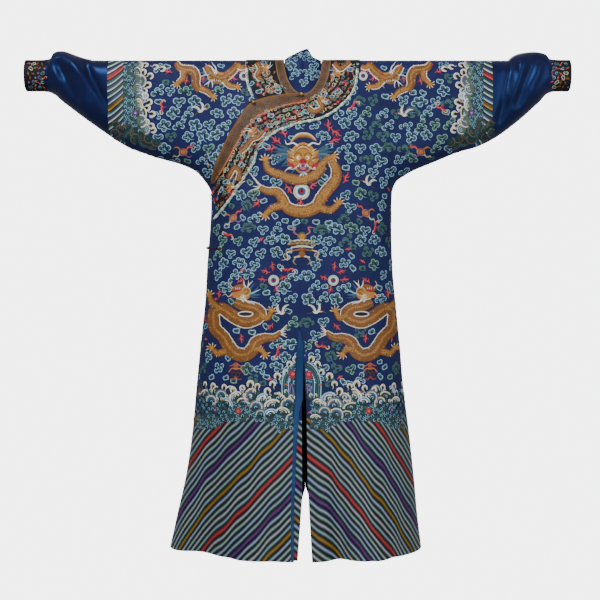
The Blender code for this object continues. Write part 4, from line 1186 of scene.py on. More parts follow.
def placed(patch, x=0.0, y=0.0, turn=0.0, size=1.0, flip=False):
    """The patch turned by degrees, scaled, flipped left to right and moved."""
    points, faces, colours = patch
    points = points.copy()
    if flip:
        points[:, 0] *= -1
        faces = faces[:, ::-1]
    c, s = math.cos(math.radians(turn)) * size, math.sin(math.radians(turn)) * size
    flat = points[:, :2] @ np.array([[c, s], [-s, c]])
    points[:, :2] = flat + (x, y)
    return points, faces, colours


def recoloured(patch, swap):
    codes = np.arange(len(FLOSS))
    for old, new in swap.items():
        codes[CODE[old]] = CODE[new]
    return patch[0], patch[1], codes[patch[2]]


# The photograph's camera: its height, its distance from the middle plane and its lens
EYE_Z, EYE_AWAY, LENS = -0.669, 3.0, 64.3
# The picture: metres a pixel at the middle plane, and the pixels of the origin
PIXEL, ORIGIN_PX, ORIGIN_PY = 0.0028, 300, 61
SLIT_PX = 303.5          # the middle that the ornaments are mirrored about
MIDDLE_PX = 303          # the middle of the field of clouds and of the back's ornaments
SEAM_PX, ROCK_PX = 300.5, 301.5    # the middle seam, and the middle of the rock on the slit
BACK_SHARE = 0.955       # size of the back's ornaments to the front's
HIGH_Z = -0.13           # above it ornaments are laid over the shoulder, below it round the body


def unshortened(px, py):
    """x and z on the middle plane of a point in the picture."""
    return (np.asarray(px, float) - ORIGIN_PX) * PIXEL, (ORIGIN_PY - np.asarray(py, float)) * PIXEL


def nearness(x, z):
    """How much smaller the front's places are than they show, as they lie nearer than the middle."""
    return 1 - half_depth(x, z, False) / EYE_AWAY


def spot(px, py):
    """x and z on the front of the cloth of a point in the picture."""
    seen_x, seen_z = unshortened(px, py)
    x, z = seen_x, seen_z
    for _ in range(4):
        near = nearness(x, z)
        x, z = seen_x * near, EYE_Z + (seen_z - EYE_Z) * near
    return x, z


def inside(x, z, outline):
    """Whether places lie in a polygon."""
    result = np.zeros(np.shape(x), bool)
    for (ax, az), (bx, bz) in zip(outline, np.roll(outline, -1, axis=0)):
        crosses = (az > z) != (bz > z)
        with np.errstate(divide="ignore", invalid="ignore"):
            at = ax + (z - az) / (bz - az) * (bx - ax)
        result ^= crosses & (x < at)
    return result


BEYOND_BAND, WITHIN_RING = (-0.2460, -0.4480), ((0.05, -0.18), (0.05, -0.10))


def covered_outline():
    """Outline of the lapel's trim and band on the front."""
    free = smooth_curve([row[:2] for row in LAPEL], 4)
    outer = smooth_curve(BAND_LAPEL_EDGE + (BEYOND_BAND,), 4)
    return np.vstack([free, outer[::-1], WITHIN_RING])


COVERED = covered_outline()


CLEFT_MARGIN, HEM_MARGIN = 0.002, 0.003     # bare cloth beside the slits and above the hem
LEAST_DEPTH, LEAST_ARM_DEPTH = 0.012, 0.007    # half depths under which the sides are left bare


def on_cloth(x, z, back, sides):
    """Whether embroidery may lie at each place."""
    ring_x = (x - NECK_X) / (BAND_OUTER[0] + 0.001)
    drop = np.where(back, BAND_OUTER[2], BAND_OUTER[1])
    good = ring_x ** 2 + (z / drop) ** 2 > 1
    good &= back | ~inside(x, z, COVERED)
    for table, last, elsewhere in ((SLIT_EDGES, 3, back), (VENT_EDGES, 2, ~back)):
        cleft = (x > falling(table, 1, z) - CLEFT_MARGIN) & (x < falling(table, last, z) + CLEFT_MARGIN)
        good &= elsewhere | ~(cleft & (z < SLIT_TOP_Z))
    good &= half_depth(x, z, back) > np.where(np.abs(x) > 0.2, LEAST_ARM_DEPTH, LEAST_DEPTH)
    return good & (z > HEM_Z + HEM_MARGIN) & (z < -0.0005) & sides




def level_behind(py):
    """Height on the back of an ornament's level in the picture."""
    return EYE_Z + ((ORIGIN_PY - py) * PIXEL - EYE_Z) * BACK_SHARE


class Embroidery:
    """One piece of embroidery: patches mapped on the cloth."""

    def __init__(self, name):
        self.name = name
        self.parts = []
        self.count = 0

    def add(self, patch, x, z, back, good, lift):
        """Maps a patch whose points lie at places (x, z) of the cloth."""
        points, faces, colours = patch
        base, out = surface_frame(x, z, back)
        self.take(base + out * (BASE_LIFT + lift + points[:, 2] * MM)[:, None], faces, colours, good, out)

    def take(self, points, faces, colours, good, out):
        """Adds the faces whose points are all good, turned to look along out."""
        kept = good[faces].all(axis=1)
        if not kept.any():
            return
        faces, colours = faces[kept], colours[kept]
        first, second, third = (points[faces[:, i]] for i in range(3))
        turned = np.sum(np.cross(second - first, third - first) * out[faces[:, 0]], axis=1) < 0
        faces[turned] = faces[turned][:, ::-1]
        used, faces = np.unique(faces, return_inverse=True)
        self.parts.append((points[used], faces.reshape(-1, 3) + self.count, colours))
        self.count += len(used)

    def seen(self, patch, lift=0.0, free=False):
        """A patch drawn in the picture's pixels, y downwards, on the front."""
        x, z = spot(patch[0][:, 0], patch[0][:, 1])
        front = np.zeros(len(x), bool)
        good = np.ones(len(x), bool) if free else on_cloth(x, z, front, True)
        self.add(patch, x, z, front, good, lift)

    def behind(self, patch, lift=0.0):
        """A patch drawn in the picture's pixels, laid on the back without foreshortening."""
        u, z = (patch[0][:, 0] - MIDDLE_PX) * PX, level_behind(patch[0][:, 1])
        x, z, back, sides = self.unrolled(u, z, True, z > HIGH_Z)
        self.add(patch, x, z, back, on_cloth(x, z, back, sides), lift)

    def unrolled(self, u, z, back, high):
        """(x, z, back) of flattened places and whether each is on the body, mostly high ones as such."""
        if high.mean() > 0.5:
            x, z, back = over_shoulder(u, z if back else -z)
            return x, z, back, np.ones(len(x), bool)
        return round_body(u, np.minimum(z, -0.101), back)

    def laid(self, patch, x, z, back=False, turn=0.0, size=1.0, flip=False, lift=0.0, free=False):
        """A small patch laid flat round the place (x, z) of the cloth."""
        patch = placed(patch, 0, 0, turn, size * PX, flip)
        a, b = patch[0][:, 0], patch[0][:, 1]
        if z > HIGH_Z or (abs(x) > 0.19 and z > -0.34):
            v = way_down(x, z, back)
            x, z, back = over_shoulder(x + a, v - b * (-1 if back else 1))
            sides = True
        else:
            x, z, back, sides = round_body(way_round(x, z, back) + a, z + b, back)
        good = np.ones(len(x), bool) if free else on_cloth(x, z, back, sides)
        self.add(patch, x, z, back, good, lift)

    def put(self, patch, px, py, turn=0.0, size=1.0, flip=False, lift=0.0, free=False):
        """A small patch laid round a point given in the picture's pixels."""
        x, z = spot(px, py)
        self.laid(patch, float(x), min(float(z), -0.002), False, turn, size, flip, lift, free)

    def finish(self, looks):
        points = np.concatenate([part[0] for part in self.parts])
        faces = np.concatenate([part[1] for part in self.parts])
        colours = np.concatenate([part[2] for part in self.parts])
        mesh = bpy.data.meshes.new(self.name)
        mesh.vertices.add(len(points))
        mesh.vertices.foreach_set("co", points.astype(np.float32).ravel())
        mesh.loops.add(len(faces) * 3)
        mesh.loops.foreach_set("vertex_index", faces.astype(np.int32).ravel())
        mesh.polygons.add(len(faces))
        mesh.polygons.foreach_set("loop_start", np.arange(0, len(faces) * 3, 3, dtype=np.int32))
        used = np.unique(colours)
        mesh.polygons.foreach_set("material_index", np.searchsorted(used, colours).astype(np.int32))
        mesh.update(calc_edges=True)
        mesh.validate()
        for code in used:
            mesh.materials.append(looks[FLOSS[code]])
        mesh.shade_smooth()
        piece = linked(self.name, mesh)
        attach(piece, "root")
        print(self.name, len(faces), "triangles")
        return piece


# ---- Motifs, drawn in picture units with up as plus ----

def polar(radius, angle):
    return radius * math.cos(angle), radius * math.sin(angle)


def lobe(x, y, radius, turn, level=1):
    """One curl of a cloud, open on the side away from turn."""
    return join(disc(x, y, radius * 0.95, "dark teal", 0, 7, dome=0.1),
                arc(x, y, radius, 0.8, turn - 118, turn + 118, "pale blue", level, step=34),
                arc(x, y, radius * 0.50, 0.6, turn - 110, turn + 90, "grey blue", level, 0.25, step=44),
                disc(x - 0.25 * math.cos(math.radians(turn)), y, radius * 0.20, "green",
                     level, 5, dome=0.2))


def cloud(lobes, stems):
    """Curls round stems: x, y, radius and turn of each curl, and the stems' paths."""
    parts = [stroke(path, [0.5, 1.5, 1.0, 0.4][:len(path)], ["pale blue", "teal"], 0) for path in stems]
    return join(*parts, *[lobe(*spec) for spec in lobes])


CLOUDS = (
    cloud(((-4.2, 1.2, 2.8, 160), (0.2, 4.0, 3.0, 90), (4.4, 1.0, 2.7, 20), (-1.4, -3.4, 2.3, 240)),
          (((-3.6, 0.4), (0.2, 0.0), (2.4, -3.6), (6.2, -5.4)), ((0.2, 2.0), (0.3, -0.5), (-1.0, -2.0)))),
    cloud(((-5.2, -3.0, 2.6, 200), (-0.6, 0.4, 2.9, 130), (4.4, 3.8, 2.6, 50), (3.6, -2.6, 2.2, -40)),
          (((-4.4, -1.6), (-0.8, 1.2), (2.4, 1.0), (4.8, 2.6)), ((0.4, 0.2), (2.2, -0.6), (3.4, -1.8)))),
    cloud(((-3.4, 0.4, 2.9, 150), (3.2, 1.0, 3.1, 35), (0.2, -4.2, 2.3, 265)),
          (((-3.0, 0.2), (0.0, -0.8), (3.0, 0.8), (4.8, 2.8)), ((0.0, -0.8), (0.2, -2.4), (0.2, -3.6)))),
    cloud(((-6.0, 0.2, 2.5, 175), (-2.2, 3.6, 2.7, 110), (2.8, 3.4, 2.7, 70), (6.4, -0.2, 2.4, 5),
           (0.4, -2.0, 2.5, 250)),
          (((-5.4, 0.0), (-1.0, 0.6), (2.0, 0.4), (5.8, 0.0)), ((0.4, 1.0), (0.4, -0.6), (0.4, -1.4)))),
    cloud(((-2.4, 2.8, 2.6, 120), (2.6, -0.4, 2.8, -10), (-2.2, -3.2, 2.4, 230), (4.4, 4.4, 2.0, 60)),
          (((-2.2, 2.0), (0.2, 0.6), (2.2, 0.0), (3.8, 3.0)), ((0.0, 0.6), (-1.2, -1.4), (-2.0, -2.4)))),
)
CLOUD_SWAPS = ({}, {"teal": "green"}, {"green": "pale blue"}, {"teal": "green", "green": "edge green"},
               {"pale blue": "edge green"}, {"teal": "mid blue"},
               {"pale blue": "green", "teal": "mid blue"})
CLOUDLET = join(lobe(-1.6, 0.4, 2.2, 150), lobe(1.8, 0.2, 2.2, 20),
                stroke(((-2, -1.8), (0, -2.4), (3.4, -3.0)), 0.7, "pale blue", 0))
FLAME = join(stroke(((-4.6, -1.2), (-2.0, 0.2), (0.6, -0.4), (3.4, 1.6), (5.4, 1.2)),
                    [0.4, 1.5, 1.6, 1.2, 0.3], ["red", "pink"], 1),
             stroke(((-1.8, 0.0), (-2.4, 1.8), (-1.2, 3.4)), [1.2, 1.0, 0.3], ["pink", "red"], 1),
             stroke(((1.0, -0.2), (0.8, 1.6), (2.2, 3.6)), [1.2, 1.1, 0.3], ["red", "pink"], 1),
             stroke(((0.4, -0.2), (1.2, -1.8), (2.8, -2.4)), [1.0, 0.9, 0.3], "red", 1))
FLAMELET = join(stroke(((-3.2, 0), (-1.6, 1.0), (0, 0), (1.6, 1.0), (3.4, 0.2)), [0.3, 1.3, 1.2, 1.3, 0.3],
                       ["red", "pink"], 1),
                stroke(((-0.4, 0.2), (0, 1.8), (0.8, 2.6)), [1.0, 0.8, 0.3], "pink", 1))


def pearl(radius):
    """Flaming pearl: pale ring, shaded inside, with a red curl at its heart."""
    rings = (("cream", 1.0), ("edge green", 0.86), ("white", 0.76), ("pale blue", 0.60), ("mid blue", 0.50),
             ("navy", 0.36))
    discs = [disc(0, 0, radius * share, hue, level, 20 - 2 * level, dome=0.12)
             for level, (hue, share) in enumerate(rings)]
    return join(*discs, arc(0.3, -0.1, radius * 0.22, radius * 0.16, -60, 250, "red", 6))


BAT = join(blob(((-1.6, -1.0), (0.0, -1.6), (1.6, -0.6), (1.2, 1.2), (-0.6, 1.4)), "red", 1),
           stroke(((0.6, 0.6), (3.0, 2.8), (5.6, 2.2), (7.0, 0.4)), [1.6, 2.4, 1.8, 0.4],
                  ["red", "pink"], 1),
           stroke(((-0.6, 0.4), (-2.6, -1.6), (-5.2, -1.4), (-6.6, -3.0)), [1.6, 2.4, 1.8, 0.4],
                  ["pink", "red"], 1),
           arc(6.0, 1.2, 1.5, 0.8, -90, 150, "cream", 2), arc(-5.4, -2.6, 1.5, 0.8, 60, 300, "cream", 2),
           disc(0.4, 0.2, 0.6, "gold", 3, 7),
           stroke(((0.2, -1.2), (1.4, -3.0), (3.0, -3.2)), [0.8, 0.7, 0.3], "red", 1))

CRANE = join(stroke(((-5.0, 2.2), (-2.4, 1.4), (0.0, 0.0), (3.0, -0.6)), [0.8, 1.2, 3.0, 1.0],
                    ["white", "cream"], 1),
             stroke(((-0.6, 0.4), (-1.6, 3.4), (-0.6, 6.4), (1.2, 8.2)), [2.2, 2.8, 2.2, 0.4],
                    ["grey blue", "white", "cream"], 2),
             stroke(((0.8, -0.2), (3.4, 2.6), (6.2, 3.6), (9.0, 3.2)), [2.2, 2.8, 2.0, 0.4],
                    ["grey blue", "white", "cream"], 2),
             stroke(((2.4, -0.6), (4.6, -1.4), (6.6, -1.2)), [1.6, 1.4, 0.4], "navy", 1),
             stroke(((-5.0, 2.2), (-7.0, 2.6), (-8.6, 2.2)), [0.8, 0.6, 0.2], "grey green", 1),
             disc(-5.2, 2.7, 0.7, "red", 3, 7),
             stroke(((2.6, -1.2), (5.0, -3.0), (7.2, -3.6)), [0.5, 0.4, 0.3], "grey green", 1))

EMBLEM = join(blob(((-3.2, -1.4), (-1.2, -2.6), (2.0, -2.2), (3.4, 0.2), (1.4, 2.4), (-2.0, 2.0)), "gold",
                   0),
              arc(0, 0, 2.0, 0.8, 0, 360, "purple", 1), disc(0, 0, 1.0, "pink", 2, 8),
              stroke(((2.6, 1.0), (5.0, 3.0), (7.4, 2.2), (8.8, 4.0)), [0.8, 1.4, 1.2, 0.4],
                     ["pink", "red"], 1),
              stroke(((-2.6, -1.0), (-5.0, -2.6), (-7.0, -1.4), (-8.6, -3.0)), [0.8, 1.4, 1.2, 0.4],
                     ["green", "cream"], 1),
              stroke(((-1.0, 2.0), (-3.4, 4.4), (-6.0, 4.0)), [0.8, 1.2, 0.4], ["orange", "gold"], 1),
              stroke(((1.2, -2.2), (3.6, -4.2), (6.2, -3.8)), [0.8, 1.2, 0.4], ["lilac", "purple"], 1))
CANOPY_TIERS = ((8.0, 3.4, "cream"), (9.0, 1.6, "gold"), (7.0, -0.4, "cream"), (6.4, -2.4, "orange"),
                (5.0, -6.6, "cream"))
CANOPY_RIBBONS = ((((1.5, 7), (5, 9.4), (4, 12.4), (8, 12.0)), [0.6, 1.2, 1.0, 0.3], ["grey blue", "pink"]),
                  (((6, -2), (10, -3.6), (9, -7), (13, -8.4)), [0.7, 1.4, 1.1, 0.3], ["orange", "cream"]),
                  (((3, -6), (5.4, -9), (3.4, -11.4)), [0.7, 1.2, 0.3], ["gold", "green"]))
CANOPY = join(disc(0, 0, 0.5, "cream", 3, 6),
              *[stroke(((-w, y), (0, y + 1.0), (w, y)), [0.8, 1.3, 0.8], hue, 1)
                for w, y, hue in CANOPY_TIERS],
              *[arc(x, 2.6, 1.2, 0.6, 0, 360, "grey green", 2) for x in (-6, -3, 0, 3, 6)],
              disc(0, 6.6, 2.0, "gold", 2, 9), arc(0, 6.6, 2.6, 0.7, 0, 360, "grey green", 1),
              disc(0, -4.4, 2.2, "orange", 2, 9),
              *[stroke([(s * x, y) for x, y in path], widths, hues, 1)
                for path, widths, hues in CANOPY_RIBBONS for s in (-1, 1)])
LATTICE = join(*[arc(x, y, 1.9, 0.7, 0, 360, "brown", 1)
                 for x, y in ((-3.6, 0), (0, 0), (3.6, 0), (-1.8, -3), (1.8, -3))],
               disc(0, 4.2, 2.2, "orange", 1, 10),
               stroke(((-7, -1), (-3.4, 2.4), (0, 1.6), (3.4, 2.4), (7, -1)), 1.0, ["pink", "gold"], 2),
               stroke(((-6.4, 4.2), (-3.0, 5.0), (0, 7.0), (3.0, 5.0), (6.4, 4.2)),
                      [0.4, 1.1, 0.8, 1.1, 0.4], ["red", "pink"], 1),
               stroke(((0, -4.6), (-2.6, -7.2), (-6.0, -6.4)), [1.0, 1.2, 0.4], ["red", "orange"], 1),
               stroke(((0, -4.6), (2.6, -7.2), (6.0, -6.4)), [1.0, 1.2, 0.4], ["orange", "red"], 1))
FLOWER = join(*[disc(*polar(1.9, a), 1.5, "red", 0, 8) for a in np.arange(6) * math.pi / 3],
              *[disc(*polar(1.0, a), 0.7, "pink", 2, 7) for a in np.arange(5) * 1.257],
              disc(0, 0, 0.6, "gold", 3, 7))
LILAC_FLOWER = recoloured(FLOWER, {"red": "purple", "pink": "lilac", "gold": "cream"})


def foam(size=1.0):
    """A breaking crest: a hook with a pale edge and dark teeth inside."""
    teeth = [stroke((polar(2.3, a), polar(1.1, a + 0.35)), [0.9, 0.3], "cream", 1, 1)
             for a in np.radians(np.arange(-10, 200, 30))]
    patch = join(arc(0, 0, 2.9, 1.5, -40, 215, ["white", "white", "cream"], 1), *teeth,
                 stroke(((-2.3, -1.6), (-1.6, -3.6), (-2.6, -5.6)), [1.4, 1.3, 0.6],
                        ["grey green", "cream"], 0))
    return placed(patch, size=size)


FOAM, SMALL_FOAM = join(disc(0, 0, 3.0, "navy", 0, 9, dome=0.0), foam()), foam(0.62)


def swell(colours=("cream", "grey blue", "mid blue", "dark teal"), reach=200, squash=0.85):
    """A rolling wave: nested bands that darken inwards, ending in a curl."""
    bands = [arc(0, 0, 7.0 - 1.35 * i, 1.5 - 0.4 * (i % 2), 180 - reach + 9 * i, 186 + 4 * i, colour,
                 3 - i, 0.2, squash)
             for i, colour in enumerate(colours)]
    return join(disc(0, 0, 6.2, "dark teal", 0, 12, squash, 0.05), *bands,
                arc(0.6, -0.3, 1.2, 0.6, -60, 190, "pale blue", 1))


SWELL = swell()
SWELL_KINDS = (SWELL, swell(("white", "dark teal", "cream", "grey green"), 160, 0.66),
               swell(("grey blue", "cream", "mid blue", "teal"), 205, 0.9),
               swell(("cream", "grey green", "navy", "grey blue"), 140, 0.6),
               swell(("pale blue", "mid blue", "white", "teal"), 180, 0.75))
EDDY = join(disc(0, 0, 2.9, "dark teal", 0, 9, dome=0.05), arc(0, 0, 2.6, 0.5, -200, 90, "teal", 1, 0.15),
            arc(0.2, 0.1, 1.5, 0.5, -120, 160, "pale blue", 1, 0.15),
            disc(0.3, 0.1, 0.6, "teal", 1, 6, dome=0.1))

EDDIES = (EDDY, recoloured(EDDY, {"teal": "green"}), recoloured(EDDY, {"pale blue": "grey green"}),
          recoloured(EDDY, {"dark teal": "navy"}))


def rock(height=26, width=10):
    """A stepped peak of nested outlines round a jewel."""
    parts = []
    for i, hue in enumerate(("teal", "navy", "green", "navy", "mid blue", "navy")):
        half, top = width - i * 1.45, height - i * 2.1
        path = ((-half, 0), (-half * 0.92, top * 0.45), (-half * 0.5, top * 0.8), (0, top),
                (half * 0.5, top * 0.8), (half * 0.92, top * 0.45), (half, 0))
        parts.append(stroke(path, 1.0, hue, i % 2, 3, 0.2))
    jewel = ((-2, 0.34), (0, 0.28), (2, 0.34), (1.8, 0.52), (0, 0.6), (-1.8, 0.52))
    return join(*parts, blob([(x, height * y) for x, y in jewel], "red", 3),
                stroke(((-1.4, 0), (-1.0, 4), (0, 6.0)), 1.4, "purple", 1),
                stroke(((1.6, 0), (1.0, 4), (0, 6.0)), 1.4, "mid blue", 1))


ROCK = rock()


# ---- Dragons, in the picture's pixels with down as plus; their middle lines were read off it ----

def limb(path, widths, colour="gold scales", edge=None, level=3):
    """A body or leg: scaled fill, gold along its middle as a painted highlight and orange at its edges as
    painted shade, with a darker underside and, on one side, a ridge.
    """
    # Painted highlight and shade: gold runs down the middle, orange along both edges
    bands = ["orange scales", colour, "gold scales", colour, "orange scales"]
    parts = [stroke(path, [w + 1.3 for w in widths], "brown", level - 1, 4, 0.15),
             stroke(path, widths, bands, level, 4, 0.9),
             scales(path, widths, level + 2)]
    if edge:
        parts += [ridge(path, widths, edge, level + 1), belly(path, widths, -edge, level + 1)]
    return join(*parts)


def ridge(path, widths, side, level):
    """The pale spine along one side of a body, with small points."""
    full = smooth_curve(np.column_stack([path, widths]), 5)
    ahead, out = headings(full[:, :2]), beside(full[:, :2]) * side
    line = full[:, :2] + out * full[:, 2:] * 0.5
    points = [stroke((p - a * 0.5, p + o * 1.2), [0.7, 0.2], "cream", level, 1, 0.2)
              for p, a, o in list(zip(line, ahead, out))[2:-1:3]]
    return join(stroke(line, 0.85, ["cream", "white"], level, 1, 0.3), *points)


def scales(path, widths, level):
    """Rows of small arcs across a body, like overlapping scales."""
    full = smooth_curve(np.column_stack([path, widths]), 12)
    way = ways_along(full[:, :2])
    parts = []
    for number, at in enumerate(np.arange(1.5, way[-1] - 1, 1.9)):
        x, y, wide = (np.interp(at, way, full[:, i]) for i in range(3))
        a, b = (np.interp(at + 0.5, way, full[:, i]) - v for i, v in ((0, x), (1, y)))
        turn = math.degrees(math.atan2(b, a))
        hue = "brown" if number % 3 else "cream"
        for share in ((-0.26, 0.06, 0.32) if number % 2 else (-0.12, 0.20)):
            px = x - math.sin(math.radians(turn)) * share * wide
            py = y + math.cos(math.radians(turn)) * share * wide
            parts.append(arc(px, py, 0.13 * wide, 0.42, turn - 80, turn + 80, hue, level, 0.1, step=60))
    return join(*parts)


BELLY_HUES = ("red", "brown", "orange", "red", "brown", "gold")


def belly(path, widths, side, level):
    """The red and gold plates along the other side of a body."""
    full = smooth_curve(np.column_stack([path, widths]), 4)
    line = full[:, :2] + beside(full[:, :2]) * side * full[:, 2:] * 0.36
    return join(*[stroke((a, b), 1.5, BELLY_HUES[number % len(BELLY_HUES)], level, 1, 0.2)
                  for number, (a, b) in enumerate(zip(line[:-1:2], line[1::2]))])


def claw(x, y, turn, size=1.0):
    """Five talons spread from a foot; turn points along the foot in picture degrees, clockwise."""
    parts = [disc(0, 0, 1.9, "gold", 4, 9, dome=0.5)]
    for spread in (-78, -40, 0, 40, 78):
        a = math.radians(spread)
        mid = polar(3.2, a - 0.14)
        nail = (mid, polar(4.5, a - 0.05), polar(5.4, a))
        parts.append(stroke((polar(0.6, a), mid), [1.5, 1.2], "gold", 4, 1, 0.4))
        parts.append(stroke(nail, [1.0, 0.8, 0.25], "cream", 5, 2, 0.3))
    return placed(join(*parts), x, y, turn, size)


def foot(path, turn, size):
    """A claw at the end of a leg."""
    (a, b), (x, y) = path[-2:]
    far = math.hypot(x - a, y - b)
    return claw(x + (x - a) / far * 1.2, y + (y - b) / far * 1.2, turn, size)


def hair(path):
    """Flame-like tufts at a leg's joint."""
    (x, y), (a, b) = path[0], path[1]
    turn = math.degrees(math.atan2(b - y, a - x))
    return placed(join(*[stroke(((0, 0), (3, 1.6 * i), (5.4, 3.4 * i)), [1.2, 1.0, 0.2], hue, 5, 2, 0.2)
                         for i, hue in ((-1, "red"), (0, "cream"), (1, "green"))]), a, b, turn + 60, 0.8)


def legs(paths, widths, size):
    """Legs with their claws, each given with its angle, and the tufts at their joints."""
    parts = []
    for path, turn in paths:
        leg = limb(path, [w * 1.15 for w in widths], "gold scales", None, 3)
        parts += [leg, foot(path, turn, size), hair(path)]
    return parts


def tail_fan(root, tip, draw, spread, width):
    """Pale tufts at the end of a tail."""
    tips = [(tip[0] - draw * abs(i), tip[1] + spread * i) for i in (-2, -1, 0, 1, 2)]
    return [stroke((root, end), [width, 0.4], ["white", "cream"], 3, 1) for end in tips]


def flames(places, size):
    return [placed(FLAME, x, y, turn, size) for x, y, turn in places]


def strands(root, tips, colours, width=0.8, bend=1.6, level=1):
    """Locks of a mane or beard from one root to several tips."""
    parts = []
    for number, (x, y) in enumerate(tips):
        middle = ((root[0] + x) / 2 + bend * (-1) ** number, (root[1] + y) / 2 - bend * 0.6)
        parts.append(stroke((root, middle, (x, y)), [width, width * 1.3, 0.25],
                            colours[number % len(colours)], level, 3, 0.25))
    return join(*parts)


def turned_head(x, y, turn=0.0, size=1.0, flip=False):
    """A dragon's head seen from the side, looking along +x."""
    teeth = [stroke(((4.0 + 2 * i, 4.0), (4.4 + 2 * i, 6.2)), [0.8, 0.2], "white", 6, 1) for i in range(3)]
    patch = join(
        strands((-5, -1), ((-17, -5), (-18, -1), (-18, 4), (-16, 8), (-12, 11)),
                ("teal", "mid blue", "pale blue"), 1.5, 1.8, 2),
        strands((-3, 5), ((-10, 13), (-5, 14), (0, 14)), ("white", "cream", "white"), 1.0, 1.0, 3),
        blob(((-7, -3), (-3, -7), (2, -7), (6, -5), (12, -5), (14, -2), (12, 0.6), (6, 1.4), (3, 4),
              (-2, 7), (-7, 4)), "gold", 3),
        blob(((2, 5), (6, 2.4), (12, 2.4), (13, 4.6), (9, 7.6), (3, 9.4), (-1, 8.6)), "orange", 3),
        blob(((1.6, 3.4), (6, 1.4), (11, 1.4), (10, 3.6), (5, 5.2)), "red", 4), *teeth,
        arc(-2.6, 1.6, 4.2, 1.1, 20, 300, ["cream", "brown"], 5),
        arc(-2.8, 1.6, 2.0, 0.9, 0, 300, "brown", 5),
        disc(1.2, -3.4, 2.0, "white", 5, 10), disc(1.7, -3.2, 0.95, "black", 6, 8),
        arc(1.0, -3.4, 3.0, 0.9, 190, 350, "cream", 5), disc(12.4, -3.6, 1.5, "red", 5, 9),
        stroke(((-1, -6), (-5, -10), (-9, -10.4), (-12, -12.6)), [1.6, 1.3, 1.0, 0.3], "white", 4),
        stroke(((2, -6.6), (0, -10.6), (-3, -13), (-5, -15.6)), [1.4, 1.2, 0.9, 0.3], "white", 4),
        stroke(((12, -1), (16, -4), (19, -1), (22, -3)), [0.9, 0.8, 0.6, 0.2], "cream", 5),
        stroke(((11, 5), (14, 9), (12, 13)), [0.8, 0.7, 0.2], "cream", 5))
    return placed(patch, x, y, turn, size, flip)


MANE_TIPS = ((27, -13), (30, -9), (31, -5), (31, -1), (29, 3), (26, 7), (22, 10))


def facing_head(x, y):
    """A dragon's head seen from the front."""
    parts = []
    for s in (-1, 1):
        parts += [
            strands((s * 10, -3), [(s * tip_x, tip_y) for tip_x, tip_y in MANE_TIPS],
                    ("teal", "mid blue", "teal", "grey blue"), 2.5, 1.4, 2),
            strands((s * 7, 9), ((s * 20, 9), (s * 18, 14), (s * 13, 18)),
                    ("mid blue", "white", "teal"), 1.4, 1.0, 2),
            *[blob(((s * 9, a), (s * 16, a - 2.6), (s * 14, a + 1.2), (s * 9, a + 3)), hue, 3)
              for a, hue in ((-4, "gold"), (0, "orange"), (4, "gold"), (8, "red"))],
            stroke(((s * 5, -11), (s * 10, -14), (s * 16, -12.6), (s * 18, -17)),
                   [1.8, 1.5, 1.1, 0.3], "white", 4),
            arc(s * 5.0, -0.6, 3.4, 1.1, 180, 360, ["brown", "orange"], 5),
            disc(s * 4.6, 0.8, 1.9, "white", 5, 12), disc(s * 4.0, 1.0, 1.0, "black", 6, 9),
            *[stroke(((s * 9, a), (s * 13.5, a - 2.2)), [1.4, 0.2], "cream", 4, 1)
              for a in (-6, -2.6, 0.8, 4.2)],
            arc(s * 8.0, 6.6, 2.4, 1.0, 0, 360, ["brown", "red"], 4), disc(s * 8.0, 6.6, 1.2, "pink", 5, 8),
            stroke(((s * 3, 7), (s * 9, 12), (s * 15, 12), (s * 19, 16)), [0.9, 0.9, 0.7, 0.2], "cream", 5)]
    parts += [
        blob(((-12, -6), (-7, -12), (0, -14.5), (7, -12), (12, -6), (13, 2), (9.6, 10), (5, 15), (0, 17),
              (-5, 15), (-9.6, 10), (-13, 2)), "gold", 3),
        *[stroke(((0, y), (s * 4, y + 1.4), (s * 7, y + 4.6)), [1.0, 0.9, 0.3], hue, 4)
          for s in (1, -1) for y, hue in ((-12, "brown"), (-10.4, "cream"), (-8.8, "brown"))],
        blob(((-3.8, 4), (0, 1.2), (3.8, 4), (2.6, 6.4), (-2.6, 6.4)), "red", 5),
        disc(-1.8, 4.6, 0.8, "navy", 6, 7), disc(1.8, 4.6, 0.8, "navy", 6, 7),
        blob(((-6.6, 8.6), (0, 7.2), (6.6, 8.6), (4.4, 13.2), (0, 14.6), (-4.4, 13.2)), "purple", 4),
        blob(((-3.4, 10.6), (0, 9.6), (3.4, 10.6), (1.8, 13), (-1.8, 13)), "pink", 5),
        *[stroke(((a, 8.0), (a * 0.9, 10.2)), [1.0, 0.3], "white", 6, 1) for a in (-4.6, -2.4, 2.4, 4.6)],
        strands((0, 15), ((-10, 23), (-6, 26), (-2, 27), (2, 27), (6, 26), (10, 23)),
                ("teal", "white", "mid blue", "pale blue"), 1.5, 0.8, 3),
        stroke(((-12, -15), (-6, -20.6), (0, -22), (7, -20.8), (13, -16)), [1.4, 4.2, 5.0, 4.2, 1.4],
               ["cream", "gold", "orange"], 3)]
    return placed(join(*parts), x, y)


# Places of the dragons' pearls and heads: on the chest, the skirt and the sleeves
CHEST_PEARL_AT, CHEST_HEAD_AT = (301.5, 191.5), (303, 157)
LOW_PEARL_AT, LOW_HEAD_AT, LOW_LOOP_AT = (333.3, 280.3), (363, 293), (361, 314)
ARM_PEARL_AT, ARM_HEAD_AT = (244, 76), (214, 76)


